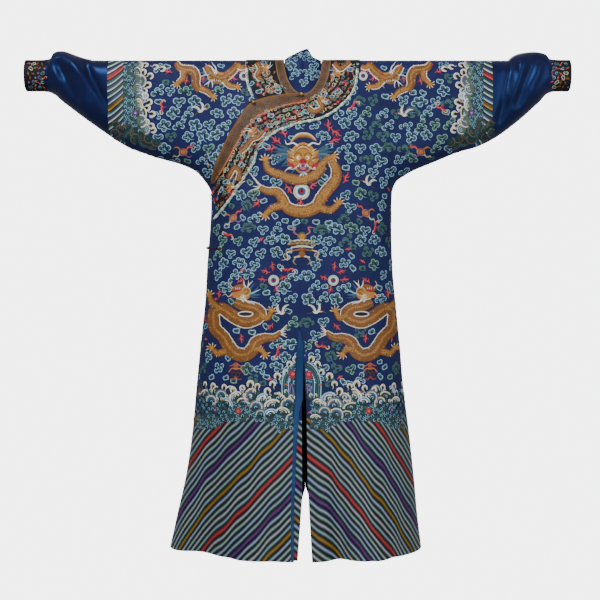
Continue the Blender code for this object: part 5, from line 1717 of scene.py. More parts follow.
def chest_dragon():
    """The facing dragon that coils round its own head, in the picture's pixels."""
    leg_paths = (
        (((283, 205), (273, 208), (266, 214)), 125), (((318, 207), (330, 210), (338, 204)), -70),
        (((279, 175), (268, 169), (266, 161)), -95), (((317, 172), (325, 161), (332, 157)), 20))
    body = ((331, 160), (336, 170), (335, 180), (328, 189), (321, 198), (317, 206), (307, 211), (296, 211),
            (287, 207), (282, 198), (277, 192), (267, 191), (260, 187))
    parts = [limb(body, (7, 9.5, 11, 11.5, 11.5, 12, 12, 11.5, 11, 10, 9, 7, 4.5), "gold scales", 1, 2),
             limb(((276, 172), (288, 178), (302, 180), (315, 175), (324, 166)), (6, 9.5, 10, 9.5, 8),
                  "gold scales", None, 2)]
    flame_places = (
        (334, 140, -30), (272, 149, 150), (289, 188, 40), (312, 185, -50), (301, 202, 90), (276, 141, 200),
        (328, 126, 250), (336, 132, 20), (258, 203, 120), (345, 178, -80), (326, 195, 60), (283, 133, 230))
    return join(*parts, *legs(leg_paths, (7, 6, 4.6), 1.2), *tail_fan((262, 187), (256, 182), 3, 4.4, 2.0),
                placed(pearl(8.2), *CHEST_PEARL_AT), *flames(flame_places, 1.2),
                facing_head(*CHEST_HEAD_AT))


def side_dragon():
    """The dragon of the skirt's left side in the picture, which is mirrored for the other."""
    leg_paths = (
        (((353, 350), (347, 349), (343, 353)), 120), (((380, 351), (389, 353), (394, 349)), -60),
        (((347, 314), (340, 318), (336, 312)), -95), (((386, 309), (394, 303), (397, 296)), -80))
    upper = ((372, 302), (362, 306), (352, 308), (346, 313), (350, 319), (362, 322), (374, 316), (384, 309),
             (392, 311), (393, 320), (391, 329), (384, 336), (379, 344), (373, 352), (363, 355), (355, 350),
             (351, 342), (343, 338), (333, 337), (326, 332))
    widths = (8, 10.5, 11, 11, 11.5, 12, 12.5, 12, 11.5, 12, 12, 12, 12.5, 13, 13, 12.5, 11, 9, 6.5, 4)
    parts = [limb(upper, widths, "orange scales", 1, 2),
             disc(*LOW_LOOP_AT, 7.5, "navy", 7, 16, 0.32, 0.1),
             arc(*LOW_LOOP_AT, 7.5, 1.1, 0, 360, ["cream", "white"], 8, 0.3, 0.34)]
    flame_places = (
        (324, 277, 10), (344, 279, -20), (335, 266, 80), (341, 271, -30), (331, 289, 95), (388, 293, 70),
        (366, 338, 80), (337, 326, 30), (402, 318, -70), (366, 281, 200))
    return join(*parts, *legs(leg_paths, (6, 5.4, 4), 1.1),
                *tail_fan((328, 333), (321, 331), 0.5, 3.2, 1.8),
                placed(pearl(5.4), *LOW_PEARL_AT), *flames(flame_places, 0.92),
                turned_head(*LOW_HEAD_AT, 180, 0.95, True))


def shoulder_dragon():
    """The dragon on the sleeve on the left of the picture, mirrored for the other."""
    body = ((176, 63), (180, 68), (187, 70), (193, 71), (196, 77), (196, 84), (200, 91))
    parts = [limb(body, (5, 7, 8.5, 9, 9, 8, 6), "orange scales", -1, 2),
             limb(((206, 66), (212, 74), (222, 78), (232, 72), (238, 64)), (7, 9, 9, 8, 6),
                  "orange scales", 1, 2),
             limb(((237, 65), (242, 68), (247, 66)), (6, 5, 3), "gold scales", 1, 3)]
    for path, turn in ((((184, 71), (183, 78), (178, 83)), 130), (((200, 88), (208, 92), (212, 96)), 30),
                       (((224, 80), (230, 86), (236, 87)), 0)):
        parts += [limb(path, (6.5, 5.5, 4.4), "gold scales", 1, 3), foot(path, turn, 0.95)]
    flame_places = ((233, 78, 0), (238, 71, -30), (244, 69, 30), (187, 80, 90), (168, 72, 180),
                    (204, 78, 80))
    return join(*parts, *flames(flame_places, 0.92), placed(pearl(4.6), *ARM_PEARL_AT),
                turned_head(*ARM_HEAD_AT, 8, 0.85))


def mirrored(patch):
    """The patch on the other side of the slit."""
    points = patch[0].copy()
    points[:, 0] = 2 * SLIT_PX - points[:, 0]
    return points, patch[1][:, ::-1], patch[2]


# ---- Where the embroidery lies: places in the picture's pixels ----

# Cranes (x, y, turn, whether mirrored), then bats, emblems and small flames (x, y, turn)
CRANES = ((201, 111, 0, 1), (404, 115, 10, 0), (368, 184, 0, 0), (240, 184, 0, 1), (282, 313, 30, 0),
          (316, 312, -20, 1))
BATS = ((162, 107, 60), (441, 108, 120), (228, 235, -45), (375, 227, 45), (288, 270, -30), (278, 352, 40),
        (322, 346, 140), (353, 106, 20), (255, 110, 160))
CANOPY_AT, LATTICES_AT = (302, 247), ((236, 371), (370, 371))
EMBLEMS = ((233, 218, 20), (366, 213, -20), (183, 152, 10), (421, 152, -10))
FLAMELETS = ((250, 150, 0), (262, 240, 40), (348, 250, 0), (219, 190, 30), (388, 190, -30), (243, 270, 20),
             (362, 262, -30), (216, 300, 0), (392, 340, 60), (206, 340, 0), (270, 380, 0), (340, 378, 30))


DRAGON_CELL, DRAGON_CLEAR = 5.0, 4.4    # clouds keep off a dragon's points on a grid this wide


def keep_clear(dragons):
    """Circles (x, y, radius) that clouds keep out of."""
    canopy = [(CANOPY_AT[0], CANOPY_AT[1] + down) for down in (-12, -1, 10)]
    seam = [(SEAM_PX, y) for y in range(270, 340, 5)]
    kinds = ((CRANES, 7.5), (BATS, 7.0), (EMBLEMS, 11.0), (canopy, 13.0), (LATTICES_AT, 11.0),
             (FLAMELETS, 4.5), (seam, 6.0))
    rings = [(place[0], place[1], radius) for places, radius in kinds for place in places]
    for dragon in dragons:
        points = dragon[0][::9, :2]
        cells = np.unique(np.round(points / DRAGON_CELL), axis=0) * DRAGON_CELL
        rings += [(x, y, DRAGON_CLEAR) for x, y in cells]
    return np.array(rings)


CLOUD_BOX = ((157, 67), (452, 392))
CLOUD_STEPS, CLOUDLET_STEPS = (15.0, 11.6), (5.4, 5.0)
CLOUD_SEED, CLOUDLET_SEED, SEA_SEED, SLEEVE_SEED, BAND_SEED = 7, 8, 11, 5, 3


def any_of(kinds, rng):
    return kinds[int(rng.integers(len(kinds)))]


def scatter(steps, seed, clear):
    """Uneven rows of places in the clouds' field, out of the circles."""
    rng = np.random.default_rng(seed)
    (left, top), (right, bottom) = CLOUD_BOX
    for row, y in enumerate(np.arange(top, bottom, steps[1])):
        for x in np.arange(left + (row % 2) * steps[0] / 2, right, steps[0]):
            px, py = x + rng.uniform(-1.6, 1.6), y + rng.uniform(-1.3, 1.3)
            turn, kind = rng.uniform(-40, 40), rng.integers(len(CLOUDS))
            swap, size = rng.integers(len(CLOUD_SWAPS)), rng.uniform(0.82, 1.02)
            if ((clear[:, 0] - px) ** 2 + (clear[:, 1] - py) ** 2 > clear[:, 2] ** 2).all():
                yield px, py, turn, kind, swap, size


CLOUD_SIDES, CLOUD_FOOT = (154, 453), (388, 0.10)    # the foot's level, and its rise sideways


def front_outline(px, py):
    """Whether a place in the picture is in the clouds' field, above the waves."""
    (left, right), (foot, rise) = CLOUD_SIDES, CLOUD_FOOT
    return py < foot - rise * abs(px - MIDDLE_PX) and left < px < right


COLOURED_CLOUDLETS = [recoloured(CLOUDLET, swap) for swap in CLOUD_SWAPS]
COLOURED_CLOUDS = [[recoloured(patch, swap) for swap in CLOUD_SWAPS] for patch in CLOUDS]


def lay_clouds(put, clear):
    """Clouds over the whole field, then small ones in the gaps."""
    laid = []
    for px, py, turn, kind, swap, size in scatter(CLOUD_STEPS, CLOUD_SEED, clear):
        if front_outline(px, py):
            put(COLOURED_CLOUDS[kind][swap], px, py, turn * 0.6, size * 1.02)
            laid.append((px, py, 9.6))
    crowded = np.concatenate([clear * (1, 1, 0.86), np.array(laid)])
    for px, py, turn, _, swap, size in scatter(CLOUDLET_STEPS, CLOUDLET_SEED, crowded):
        if front_outline(px, py) and min(math.hypot(px - a, py - b) for a, b, _ in laid[-60:]) > 6.0:
            put(COLOURED_CLOUDLETS[swap], px, py, turn, size)
            laid.append((px, py, 5.0))


def lay_motifs(put):
    """Cranes, bats, emblems and flames among the clouds."""
    for px, py, turn, flip in CRANES:
        put(CRANE, px, py, turn, size=1.15, flip=bool(flip), lift=MOTIF_LIFT)
    for px, py, turn in BATS:
        put(BAT, px, py, turn, lift=MOTIF_LIFT)
    put(CANOPY, *CANOPY_AT, size=1.6, lift=MOTIF_LIFT)
    for px, py, turn in EMBLEMS:
        put(EMBLEM, px, py, turn, size=1.45, flip=px > MIDDLE_PX, lift=MOTIF_LIFT)
    for px, py, turn in FLAMELETS:
        put(FLAMELET, px, py, turn)
    for px, py in LATTICES_AT:
        put(LATTICE, px, py, size=1.15, flip=px > SLIT_PX, lift=MOTIF_LIFT)


def behind_put(piece):
    """Lays a patch on the back at the place that mirrors one of the front."""
    def put(patch, px, py, turn=0.0, size=1.0, flip=False, lift=0.0):
        away = px - MIDDLE_PX
        x, z = float(away) * (PX if abs(away) < 130 else SLEEVE_PX), level_behind(py)
        if z > HIGH_Z or abs(away) > 95:
            piece.laid(patch, -x, min(z, -0.004), True, turn, size, flip, lift)
        else:
            x, z = round_body(np.array([-x]), np.array([z]), True)[:2]
            piece.laid(patch, float(x[0]), float(z[0]), True, turn, size, flip, lift)
    return put


# Rolling waves from the slit outwards: away from the middle, level, size, turn
SWELLS = ((16, 404, 0.9, 30), (25, 398, 1.0, -20), (31, 405, 1.1, 10), (41, 399, 0.9, 40),
          (47, 407, 1.0, -10), (52, 396, 1.1, 60), (60, 402, 0.9, 0), (68, 397, 1.0, 30),
          (76, 403, 0.9, -30), (82, 396, 1.0, 15), (92, 401, 0.9, 0), (99, 394, 0.9, 30), (21, 412, 0.9, 0),
          (33, 414, 0.9, 20), (43, 414, 0.7, 0), (12, 418, 0.7, 10), (88, 391, 0.8, 50),
          (72, 390, 0.8, -10))
# Breaking crests in the same way, their level before their size
CRESTS = ((8, 359, 0.9, 30), (14, 364, 0.9, 0), (18, 372, 0.8, 40), (26, 376, 1.0, 10), (31, 384, 0.9, 0),
          (36, 391, 1.0, 20), (46, 386, 0.8, 0), (53, 384, 1.1, 10), (61, 388, 0.9, -10),
          (70, 390, 1.0, 10), (79, 387, 0.9, 0), (90, 386, 1.0, 10), (98, 384, 0.8, 0), (41, 397, 0.7, 0))
# Lower edge of the sea: away from the middle, level
SEA_FOOT = ((0, 429), (14, 430), (24, 431), (30, 426), (42, 420), (54, 419), (64, 422), (72, 420),
            (80, 424), (92, 430), (104, 430))


# Flowers in the sea, small flames and side peaks: distance from the middle, level, and size
SEA_FLOWERS = ((FLOWER, 65, 411, 1.0), (LILAC_FLOWER, 88, 410, 0.8))
SEA_FLAMES, PEAK_AT = ((17, 385), (6, 413), (28, 402), (57, 393)), (104, 398)
SEA_TOP = 397            # level of the small curls' upper edge at the slit
SPRAY_COUNT, SPRAY_AT, SPRAY_STEP = 22, (8, 392), 4.5
SEA_ACROSS, SEA_DOWN = (190, 420, 4.2), (390, 434, 3.7)    # first, last and step of the small curls


def lay_waves(put, clear_slit):
    """The sea above the stripes: curls, rolling waves, crests, rocks and treasures."""
    rng = np.random.default_rng(SEA_SEED)
    foot = np.array(SEA_FOOT, float)
    (left, right, step), (top, bottom, drop) = SEA_ACROSS, SEA_DOWN
    for row, y in enumerate(np.arange(top, bottom, drop)):
        for x in np.arange(left + (row % 2) * step / 2, right, step):
            away = abs(x - SLIT_PX)
            if away > clear_slit and SEA_TOP - 0.08 * away < y < np.interp(away, foot[:, 0], foot[:, 1]):
                curl = any_of(EDDIES, rng)
                at = (x + rng.uniform(-0.5, 0.5), y + rng.uniform(-0.5, 0.5))
                put(curl, *at, rng.uniform(-180, 180), 0.86)
    for s in (-1, 1):
        for number, (away, y, size, turn) in enumerate(SWELLS):
            kind = SWELL_KINDS[(number * 3 + (s > 0)) % len(SWELL_KINDS)]
            flip = (s < 0) != (number % 4 == 2)
            lift = SWELL_LIFT + 0.0001 * (number % 4)
            put(kind, SLIT_PX + s * away, y, turn * -s, size * 1.02, flip, lift)
        for away, y, size, turn in CRESTS:
            put(FOAM, SLIT_PX + s * away, y, turn * -s, size, s < 0, CREST_LIFT)
        for number in range(SPRAY_COUNT):
            away = SPRAY_AT[0] + SPRAY_STEP * number + rng.uniform(-1.5, 1.5)
            y = SPRAY_AT[1] + 12 * rng.random() + 3 * math.sin(away)
            put(SMALL_FOAM, SLIT_PX + s * away, y, rng.uniform(-50, 50), 0.8, s < 0, FOAM_LIFT)
        for figure, away, y, size in SEA_FLOWERS:
            put(figure, SLIT_PX + s * away, y, size=size, lift=TREASURE_LIFT)
        for away, y in SEA_FLAMES:
            put(FLAMELET, SLIT_PX + s * away, y, 20, 0.7, s < 0, TREASURE_LIFT)
        put(ROCK, SLIT_PX + s * PEAK_AT[0], PEAK_AT[1], 8 * s, 0.72, s < 0, MOTIF_LIFT)


ROCK_TOP, ROCK_WAIST, ROCK_FOOT = 361, 380, 398    # levels of the rock on the slit
ROCK_GROUND = ((283, 399), (283, 380), (291, 366), (ROCK_PX, 361), (312, 366), (320, 380), (320, 399))
JEWELS_AT, ARCHES_PX = ((293.0, 374.5), (308.6, 375.0)), (291.5, 309.0)


def centre_rock():
    """Nested arches round a jewel on each side of the slit, in the picture's pixels."""
    hues = ("pale blue", "green", "teal", "pale blue", "mid blue", "green", "teal", "mid blue")
    parts = [blob(ROCK_GROUND, "dark teal", 0, dome=0.05)]
    for i, hue in enumerate(hues):
        half, top = 19 - 2.1 * i, ROCK_TOP + 2.4 * i
        shoulder = top + half * 0.25
        path = ((-half, ROCK_FOOT), (-half, ROCK_WAIST), (-half * 0.62, shoulder), (0, top),
                (half * 0.62, shoulder), (half, ROCK_WAIST), (half, ROCK_FOOT))
        parts.append(stroke([(ROCK_PX + x, y) for x, y in path], 0.95, hue, 1, 4, 0.25))
    for x, y in JEWELS_AT:
        parts += [disc(x, y, 3.8, "red", 3, 14), disc(x, y - 0.6, 3.8 * 0.5, "pink", 4, 9),
                  arc(x, y, 3.8 + 0.9, 0.9, 0, 360, "purple", 2)]
    for x in ARCHES_PX:
        arch = [(x + out, y) for out, y in ((-2.6, 396), (-1.6, 388), (0, 384), (1.6, 388), (2.6, 396))]
        parts.append(stroke(arch, 1.4, ["purple", "lilac"], 2))
    return join(*parts)


# First, last and step of the small curls, as distances from the middle and as levels
SHORE_AWAY, SHORE_DOWN = (157, 181, 3.5), (63, 140, 4.0)
# Distance from the middle and level where their inner and their lower edge start to slant
SHORE_AT, SHORE_FOOT = (162, 112), (176, 130)
SLEEVE_FLOWER_AT, SLEEVE_FLAME_AT = (168, 113), (160, 101)
# Rolling waves of the sleeves: level, distance from the middle, size
SLEEVE_SWELLS = ((65, 164, 0.8), (73, 166, 0.9), (81, 163, 0.95), (89, 166, 0.9), (97, 163, 1.0),
                 (105, 165, 0.9), (113, 161, 0.95), (121, 162, 0.9), (129, 158, 0.85))
# Those of the underarm: distance from the middle, level, size
SLEEVE_LOW = ((187, 125, 0.7), (182, 129, 0.8), (188, 133, 0.7), (176, 128, 0.8), (175, 135, 0.8),
              (181, 137, 0.7), (169, 132, 0.85), (168, 139, 0.8), (162, 136, 0.85), (160, 143, 0.8),
              (155, 139, 0.8), (152, 146, 0.75), (147, 142, 0.7))
IVORY = {"dark teal": "grey green", "navy": "dark teal", "teal": "edge green"}
SHADED = {"cream": "brown", "white": "grey green", "pale blue": "teal", "grey blue": "grey green",
          "mid blue": "dark teal"}
# Breaking crests of the sleeves: level, distance from the middle, turn
SLEEVE_FOAM = ((65, 158, 60), (67, 148, 80), (69, 141, 90), (76, 153, 60), (85, 155, 90), (96, 158, 110),
               (108, 156, 90), (114, 151, 100), (122, 157, 80), (130, 150, 100), (72, 160, 30),
               (91, 159, 120), (102, 154, 70), (126, 152, 100))


def lay_sleeve_waves(put):
    """The sea on each sleeve, which runs in towards the middle from its stripes."""
    rng = np.random.default_rng(SLEEVE_SEED)
    for s in (-1, 1):
        for row, away in enumerate(np.arange(*SHORE_AWAY)):
            for y in np.arange(SHORE_DOWN[0] + (row % 2) * 2.0, *SHORE_DOWN[1:]):
                shore = SHORE_AT[0] - 0.30 * max(0, y - SHORE_AT[1]) + 2.5 * math.sin(y / 5)
                if away > shore and y < SHORE_FOOT[1] + (SHORE_FOOT[0] - away) * 0.45:
                    put(any_of(EDDIES, rng), SLIT_PX + s * away, y, rng.uniform(0, 360), 0.84)
        for number, (y, away, size) in enumerate(SLEEVE_SWELLS):
            kind = recoloured(SWELL_KINDS[(number * 2 + 1) % len(SWELL_KINDS)], IVORY)
            put(kind, SLIT_PX + s * away, y, 90 * s + 10, size, s > 0, SWELL_LIFT)
        for number, (away, y, size) in enumerate(SLEEVE_LOW):
            kind = recoloured(SWELL_KINDS[number % len(SWELL_KINDS)], SHADED)
            put(kind, SLIT_PX + s * away, y, 30 * s + 17 * number, size, s > 0, MOTIF_LIFT)
        for y, away, turn in SLEEVE_FOAM:
            put(FOAM, SLIT_PX + s * away, y, s * turn, 0.95, s > 0, CREST_LIFT)
        for figure, (away, y), turn, size in ((LILAC_FLOWER, SLEEVE_FLOWER_AT, 0, 1.0),
                                              (FLAMELET, SLEEVE_FLAME_AT, 90, 0.8)):
            put(figure, SLIT_PX + s * away, y, turn, size, lift=TREASURE_LIFT)


def far_put(piece):
    """Lays a patch on the back of a cuff at a place given as for its front."""
    def put(patch, px, py, turn=0.0, size=1.0):
        x, z = (px - ORIGIN_PX) * SLEEVE_PX, min((ORIGIN_PY - py) * PIXEL, -0.004)
        piece.laid(patch, x, z, True, turn, size, False, 0.0)
    return put


GREY_CLOUDLET, CREAM_CLOUDLET, GREEN_CLOUDLET, ORANGE_CLOUDLET = (
    recoloured(CLOUDLET, {"pale blue": hue}) for hue in ("grey blue", "cream", "edge green", "orange"))
GILT = recoloured(FLAMELET, {"red": "gold", "pink": "cream"})
RUSTY = recoloured(FLAMELET, {"red": "brown", "pink": "orange"})
# Figures of the cuffs with their sizes; where each cuff starts, its width, levels and step
CUFF_FIGURES = ((FLAMELET, 0.7), (GREY_CLOUDLET, 0.62), (RUSTY, 0.8), (EDDY, 0.8), (LILAC_FLOWER, 0.45),
                (CREAM_CLOUDLET, 0.6), (BAT, 0.38), (RUSTY, 0.7))
CUFF_STARTS, CUFF_WIDE, CUFF_LEVELS, CUFF_STEP = (29, 552), 17, (64, 92), 4.6


def lay_cuffs(put):
    """Many small coloured figures on each black cuff."""
    count = 0
    for start in CUFF_STARTS:
        for row, y in enumerate(np.arange(*CUFF_LEVELS, CUFF_STEP)):
            for x in np.arange(start + (row % 2) * 2, start + CUFF_WIDE, CUFF_STEP):
                figure, size = CUFF_FIGURES[(count * 5 + row) % len(CUFF_FIGURES)]
                put(figure, x, y, 37 * count % 180, size)
                count += 1


SCALLOP_HUES, SCALLOP_STEP = ("navy", "green", "white"), 3.1


def scallops(path):
    """The pale edging of the collar band: small alternate loops along a line."""
    line = smooth_curve(np.array(path, float), 3)
    lengths = ways_along(line)
    count = int(lengths[-1] / SCALLOP_STEP)
    parts = [stroke(line, 2.6, ["edge green", "white"], 0, 1, 0.1)]
    for i in range(count):
        at = (i + 0.5) / count * lengths[-1]
        x, y = np.interp(at, lengths, line[:, 0]), np.interp(at, lengths, line[:, 1])
        parts.append(arc(x, y, 1.25, 0.5, 0, 300, SCALLOP_HUES[i % len(SCALLOP_HUES)], 1))
    return join(*parts)


EDGE_LINK = join(disc(0, 0, 1.9, "edge green", 0, 8, dome=0.1), arc(0, 0, 1.25, 0.6, 0, 300, "white", 1))
EDGING_LEFT = ((246.5, 63), (247.6, 83), (253.0, 97.0))
EDGING_LAPEL = ((357.7, 64), (355.8, 83), (351.0, 94.8), (341.4, 105.2), (332.0, 112.8), (318.0, 119.4),
                (299, 123), (285, 128), (277, 131), (264.4, 140.4), (257.3, 149.2), (254.6, 161),
                (249.7, 169.6), (240.6, 182.8), (233.4, 195), (223.7, 208.3), (214.4, 219.6))


# Middle of the collar band and half the width that its figures fill, in the picture
BAND_MIDDLE = ((344, 65), (342.5, 80), (335, 92), (324, 101.5), (311, 107.5), (299, 111.5), (285, 115.5),
               (271, 121), (259, 129), (250, 141), (245, 153), (239, 166), (231, 180), (222, 193),
               (214, 205))
BAND_WIDE = (10, 10, 9.5, 8.5, 8, 8.5, 9, 9.5, 10, 9.5, 9.5, 9.5, 9, 7.5, 5)
BAND_LEFT = ((256, 65), (260, 72), (264, 80), (270, 87), (278, 91))


def pictured(x, z):
    """Where a place on the front shows in the picture."""
    near = nearness(x, z)
    return np.stack([ORIGIN_PX + x / near / PIXEL, ORIGIN_PY - (EYE_Z + (z - EYE_Z) / near) / PIXEL], -1)


BAND_FILL = (GREEN_CLOUDLET, FLAMELET, GILT, EDDY, FLOWER, RUSTY, CREAM_CLOUDLET, GILT, GREY_CLOUDLET,
             RUSTY, ORANGE_CLOUDLET, recoloured(EDDY, {"teal": "cream", "pale blue": "gold"}))
# Larger figures of the band: x, y, figure, turn, size
BAND_SMALL = ((258, 85, FLOWER, 0, 0.6), (266, 92, BAT, 30, 0.62), (278, 92, CLOUDLET, 0, 0.85),
              (259, 92, CLOUDLET, 20, 0.8), (253, 72, FLAMELET, 90, 0.7), (252, 84, CLOUDLET, 60, 0.7),
              (276, 85.5, pearl(2.4), 0, 0.75), (275, 73, FLAMELET, 60, 0.6), (350, 70, CLOUDLET, 0, 0.85),
              (344, 83, FLAMELET, 60, 0.8), (338, 92, CLOUDLET, 40, 0.85), (328, 101, FLAMELET, 20, 0.7),
              (332, 97, CLOUDLET, 0, 0.6), (306, 112, CLOUDLET, 0, 0.9), (297, 115, FLAMELET, 0, 0.7),
              (288, 119, BAT, 160, 0.6), (280, 118, FLOWER, 0, 0.55), (271, 116, CLOUDLET, 0, 0.8),
              (270, 126, CLOUDLET, 10, 0.8), (259.5, 120, pearl(2.6), 0, 0.8),
              (252, 126, FLAMELET, 70, 0.8), (247, 137, CLOUDLET, 20, 0.7), (222, 190, CLOUDLET, 50, 0.8),
              (215, 200, FLAMELET, 50, 0.8), (226, 182, CLOUDLET, 20, 0.8), (234, 172, FLAMELET, 40, 0.7),
              (242, 165, CLOUDLET, 60, 0.7), (213, 213, CLOUDLET, 30, 0.7), (247, 152, FLAMELET, 30, 0.6),
              (214, 192, FLOWER, 0, 0.5), (229, 191, FLOWER, 0, 0.5))
# Small dragons of the band: middle line of the body, then x, y, turn and size of the head
BAND_DRAGONS = (
    (((257, 64), (260, 70), (257, 76), (261, 80)), (266, 68, 90, 0.42)),
    (((241, 152), (247, 147), (252, 140), (259, 137), (264, 131)), (252, 133, -40, 0.5)),
    (((334, 64), (340, 70), (346, 66), (350, 63)), (336, 73, 30, 0.42)),
    (((318, 100), (322, 108), (314, 112), (308, 108)), (322, 100, 140, 0.45)),
    (((229, 178), (235, 168), (240, 172), (238, 181)), (232, 186, 120, 0.42)),
)


FILL_SIZE, BACK_FILL_SIZE = 0.56, 0.75


def lay_band(piece):
    """Edging and figures of the collar band, and the trim's piping."""
    lift = ON_TRIM
    for path in (EDGING_LEFT, EDGING_LAPEL):
        piece.seen(scallops(path), lift, True)
    edge = smooth_curve(LAPEL, 4)
    for column, wide, hues in ((2, 1.1, ["gold", "pink"]), (0, 0.7, "orange")):
        piping = pictured(edge[:-3, column], edge[:-3, column + 1])
        piece.seen(stroke(piping, wide, hues, 1, 1), lift, True)
    rng = np.random.default_rng(BAND_SEED)
    centre = smooth_curve(np.array(BAND_MIDDLE), 6)
    wide = np.interp(np.arange(len(centre)), np.arange(len(BAND_WIDE)) * 6, BAND_WIDE)
    for (x, y), (a, b), half in zip(centre, headings(centre), wide):
        for share in np.linspace(-1, 1, max(2, int(half / 1.7))):
            at = (x - b * share * half + rng.uniform(-0.7, 0.7),
                  y + a * share * half + rng.uniform(-0.7, 0.7))
            piece.put(any_of(BAND_FILL, rng), *at, rng.uniform(0, 360), FILL_SIZE, False, lift, True)
    for x, y in smooth_curve(np.array(BAND_LEFT), 5):
        for share in (-1, -0.4, 0.4, 1):
            figure = any_of(BAND_FILL, rng)
            at = (x + share * 6.5 + rng.uniform(-0.6, 0.6), y - share * 2.0 + rng.uniform(-0.6, 0.6))
            piece.put(figure, *at, rng.uniform(0, 360), FILL_SIZE, False, lift, True)
    for angle in np.linspace(1.62, math.pi, 34):
        for side in (-1, 1):
            inner, outer = (ring_place(ring, angle, side)[:2] for ring in (TRIM_OUTER, BAND_OUTER))
            x, z = outer + (inner - outer) * 0.05
            piece.laid(EDGE_LINK, x, z, True, 57 * angle, 1.0, False, lift, True)
            for share in (0.16, 0.36, 0.56, 0.76):
                x, z = inner + (outer - inner) * (share + rng.uniform(-0.06, 0.06))
                piece.laid(any_of(BAND_FILL, rng), x, z, True, rng.uniform(0, 360), BACK_FILL_SIZE,
                           False, lift, True)
    for x, y, figure, turn, size in BAND_SMALL:
        piece.put(figure, x, y, turn, size, False, lift, True)
    for body, head in BAND_DRAGONS:
        piece.seen(limb(body, np.full(len(body), 4.6), "orange scales", 1, 3), lift + DRAGON_LIFT, True)
        piece.seen(turned_head(*head), lift + DRAGON_LIFT, True)


FLAP_LIFT = 0.0007
FLAP_CLOUDS = ((291, 68, 0), (294, 77, 30), (314, 68, 10), (315, 78, 50), (304, 86, 20), (284, 62, 60),
               (305, 74, -30), (304, 57, 0), (295, 59.5, 20), (312, 60, -30))


def lay_flap(piece):
    """Clouds on the inner front's corner, which shows in the neck."""
    for number, (px, py, turn) in enumerate(FLAP_CLOUDS):
        patch = COLOURED_CLOUDS[number % len(CLOUDS)][number % 3]
        points, faces, colours = placed(patch, 0, 0, turn, 0.8 * PX)
        x, z = (middle + points[:, i] for i, middle in enumerate(unshortened(px, py)))
        good = (x > falling(FLAP_SIDES, 1, z) + 0.001) & (x < falling(FLAP_SIDES, 2, z) - 0.001)
        good &= (z < np.interp(x, *np.array(FLAP_TOP).T) - 0.0015) & (z > FLAP_SIDES[-1][0])
        at = flap_points(x, z)
        at[:, 1] -= FLAP_LIFT + points[:, 2] * MM
        piece.take(at, faces, colours, good, np.broadcast_to((0.0, -1.0, 0.0), at.shape))


VENT_CLEAR, SLIT_CLEAR = 2.0, 7.0    # pixels beside the openings without small curls


def embroider():
    """Every piece of embroidery."""
    chest, low, shoulder = chest_dragon(), side_dragon(), shoulder_dragon()
    dragons = [chest, low, mirrored(low), shoulder, mirrored(shoulder)]
    clear = keep_clear(dragons)
    made = []
    for name, back in (("front", False), ("back", True)):
        clouds = Embroidery("clouds_" + name)
        put = behind_put(clouds) if back else clouds.put
        lay_clouds(put, clear)
        figures = Embroidery("figures_" + name)
        put = behind_put(figures) if back else figures.put
        for dragon in dragons:
            (figures.behind if back else figures.seen)(dragon, DRAGON_LIFT)
        lay_motifs(put)
        waves = Embroidery("waves_" + name)
        put = behind_put(waves) if back else waves.put
        lay_waves(put, VENT_CLEAR if back else SLIT_CLEAR)
        lay_sleeve_waves(put)
        lay_cuffs(far_put(waves) if back else put)
        made += [clouds, figures, waves]
        if not back:
            waves.seen(centre_rock(), CREST_LIFT)
    band = Embroidery("band_figures")
    lay_band(band)
    flap = Embroidery("flap_figures")
    lay_flap(flap)
    return made + [band, flap]


# ---- Closures ----

# Ball buttons: name, x, z, radius, lift of what carries the ball
BUTTONS = (
    ("neck", 0.0040, -0.1105, 0.0050, ON_TRIM), ("lapel", -0.1262, -0.1325, 0.0048, ON_TRIM),
    ("underarm", -0.2483, -0.2976, 0.0048, 0.0), ("side", -0.2500, -0.5250, 0.0048, 0.0),
)
# Cords laid on the cloth: name, lift of what carries the cord, then x, z points
CORDS = (
    ("loop_neck", ON_TRIM, ((-0.0022, -0.1125), (-0.0070, -0.1140), (-0.0125, -0.1150))),
    ("loop_lapel", 0.0, ((-0.1325, -0.1275), (-0.1370, -0.1290), (-0.1420, -0.1320))),
    ("cord_underarm", 0.0,
     ((-0.2515, -0.2915), (-0.2545, -0.2800), (-0.2560, -0.2700), (-0.2593, -0.2598))),
    ("loop_underarm", ON_TRIM,
     ((-0.2350, -0.3080), (-0.2270, -0.3190), (-0.2190, -0.3300), (-0.2119, -0.3422))),
    ("loop_side", 0.0, ((-0.2440, -0.5250), (-0.2250, -0.5275), (-0.2085, -0.5290))),
)
CORD_RADIUS = 0.0012
BUTTON_SIDES, CORD_SIDES = 28, 12


def ring_faces(rings, sides):
    """Faces between rings of points, each ring closed."""
    return [(sides * i + j, sides * i + k, sides * (i + 1) + k, sides * (i + 1) + j)
            for i in range(rings - 1) for j, k in zip(range(sides), [*range(1, sides), 0])]


def lathe(name, profile, foot, out, material):
    """A turned form on an axis that stands on foot along out."""
    turn = Vector((0, 0, 1)).rotation_difference(out)
    angles = np.linspace(0, 2 * math.pi, BUTTON_SIDES + 1)[:-1]
    points = [foot + turn @ Vector((*polar(r, a), h)) for r, h in profile for a in angles]
    return plain_piece(name, points, ring_faces(len(profile), BUTTON_SIDES), material)


def plain_piece(name, points, faces, material):
    mesh = bpy.data.meshes.new(name)
    mesh.from_pydata([tuple(point) for point in points], [], faces)
    face_outwards(mesh, 1e-6)
    mesh.materials.append(material)
    mesh.shade_smooth()
    return linked(name + "_fine", mesh)


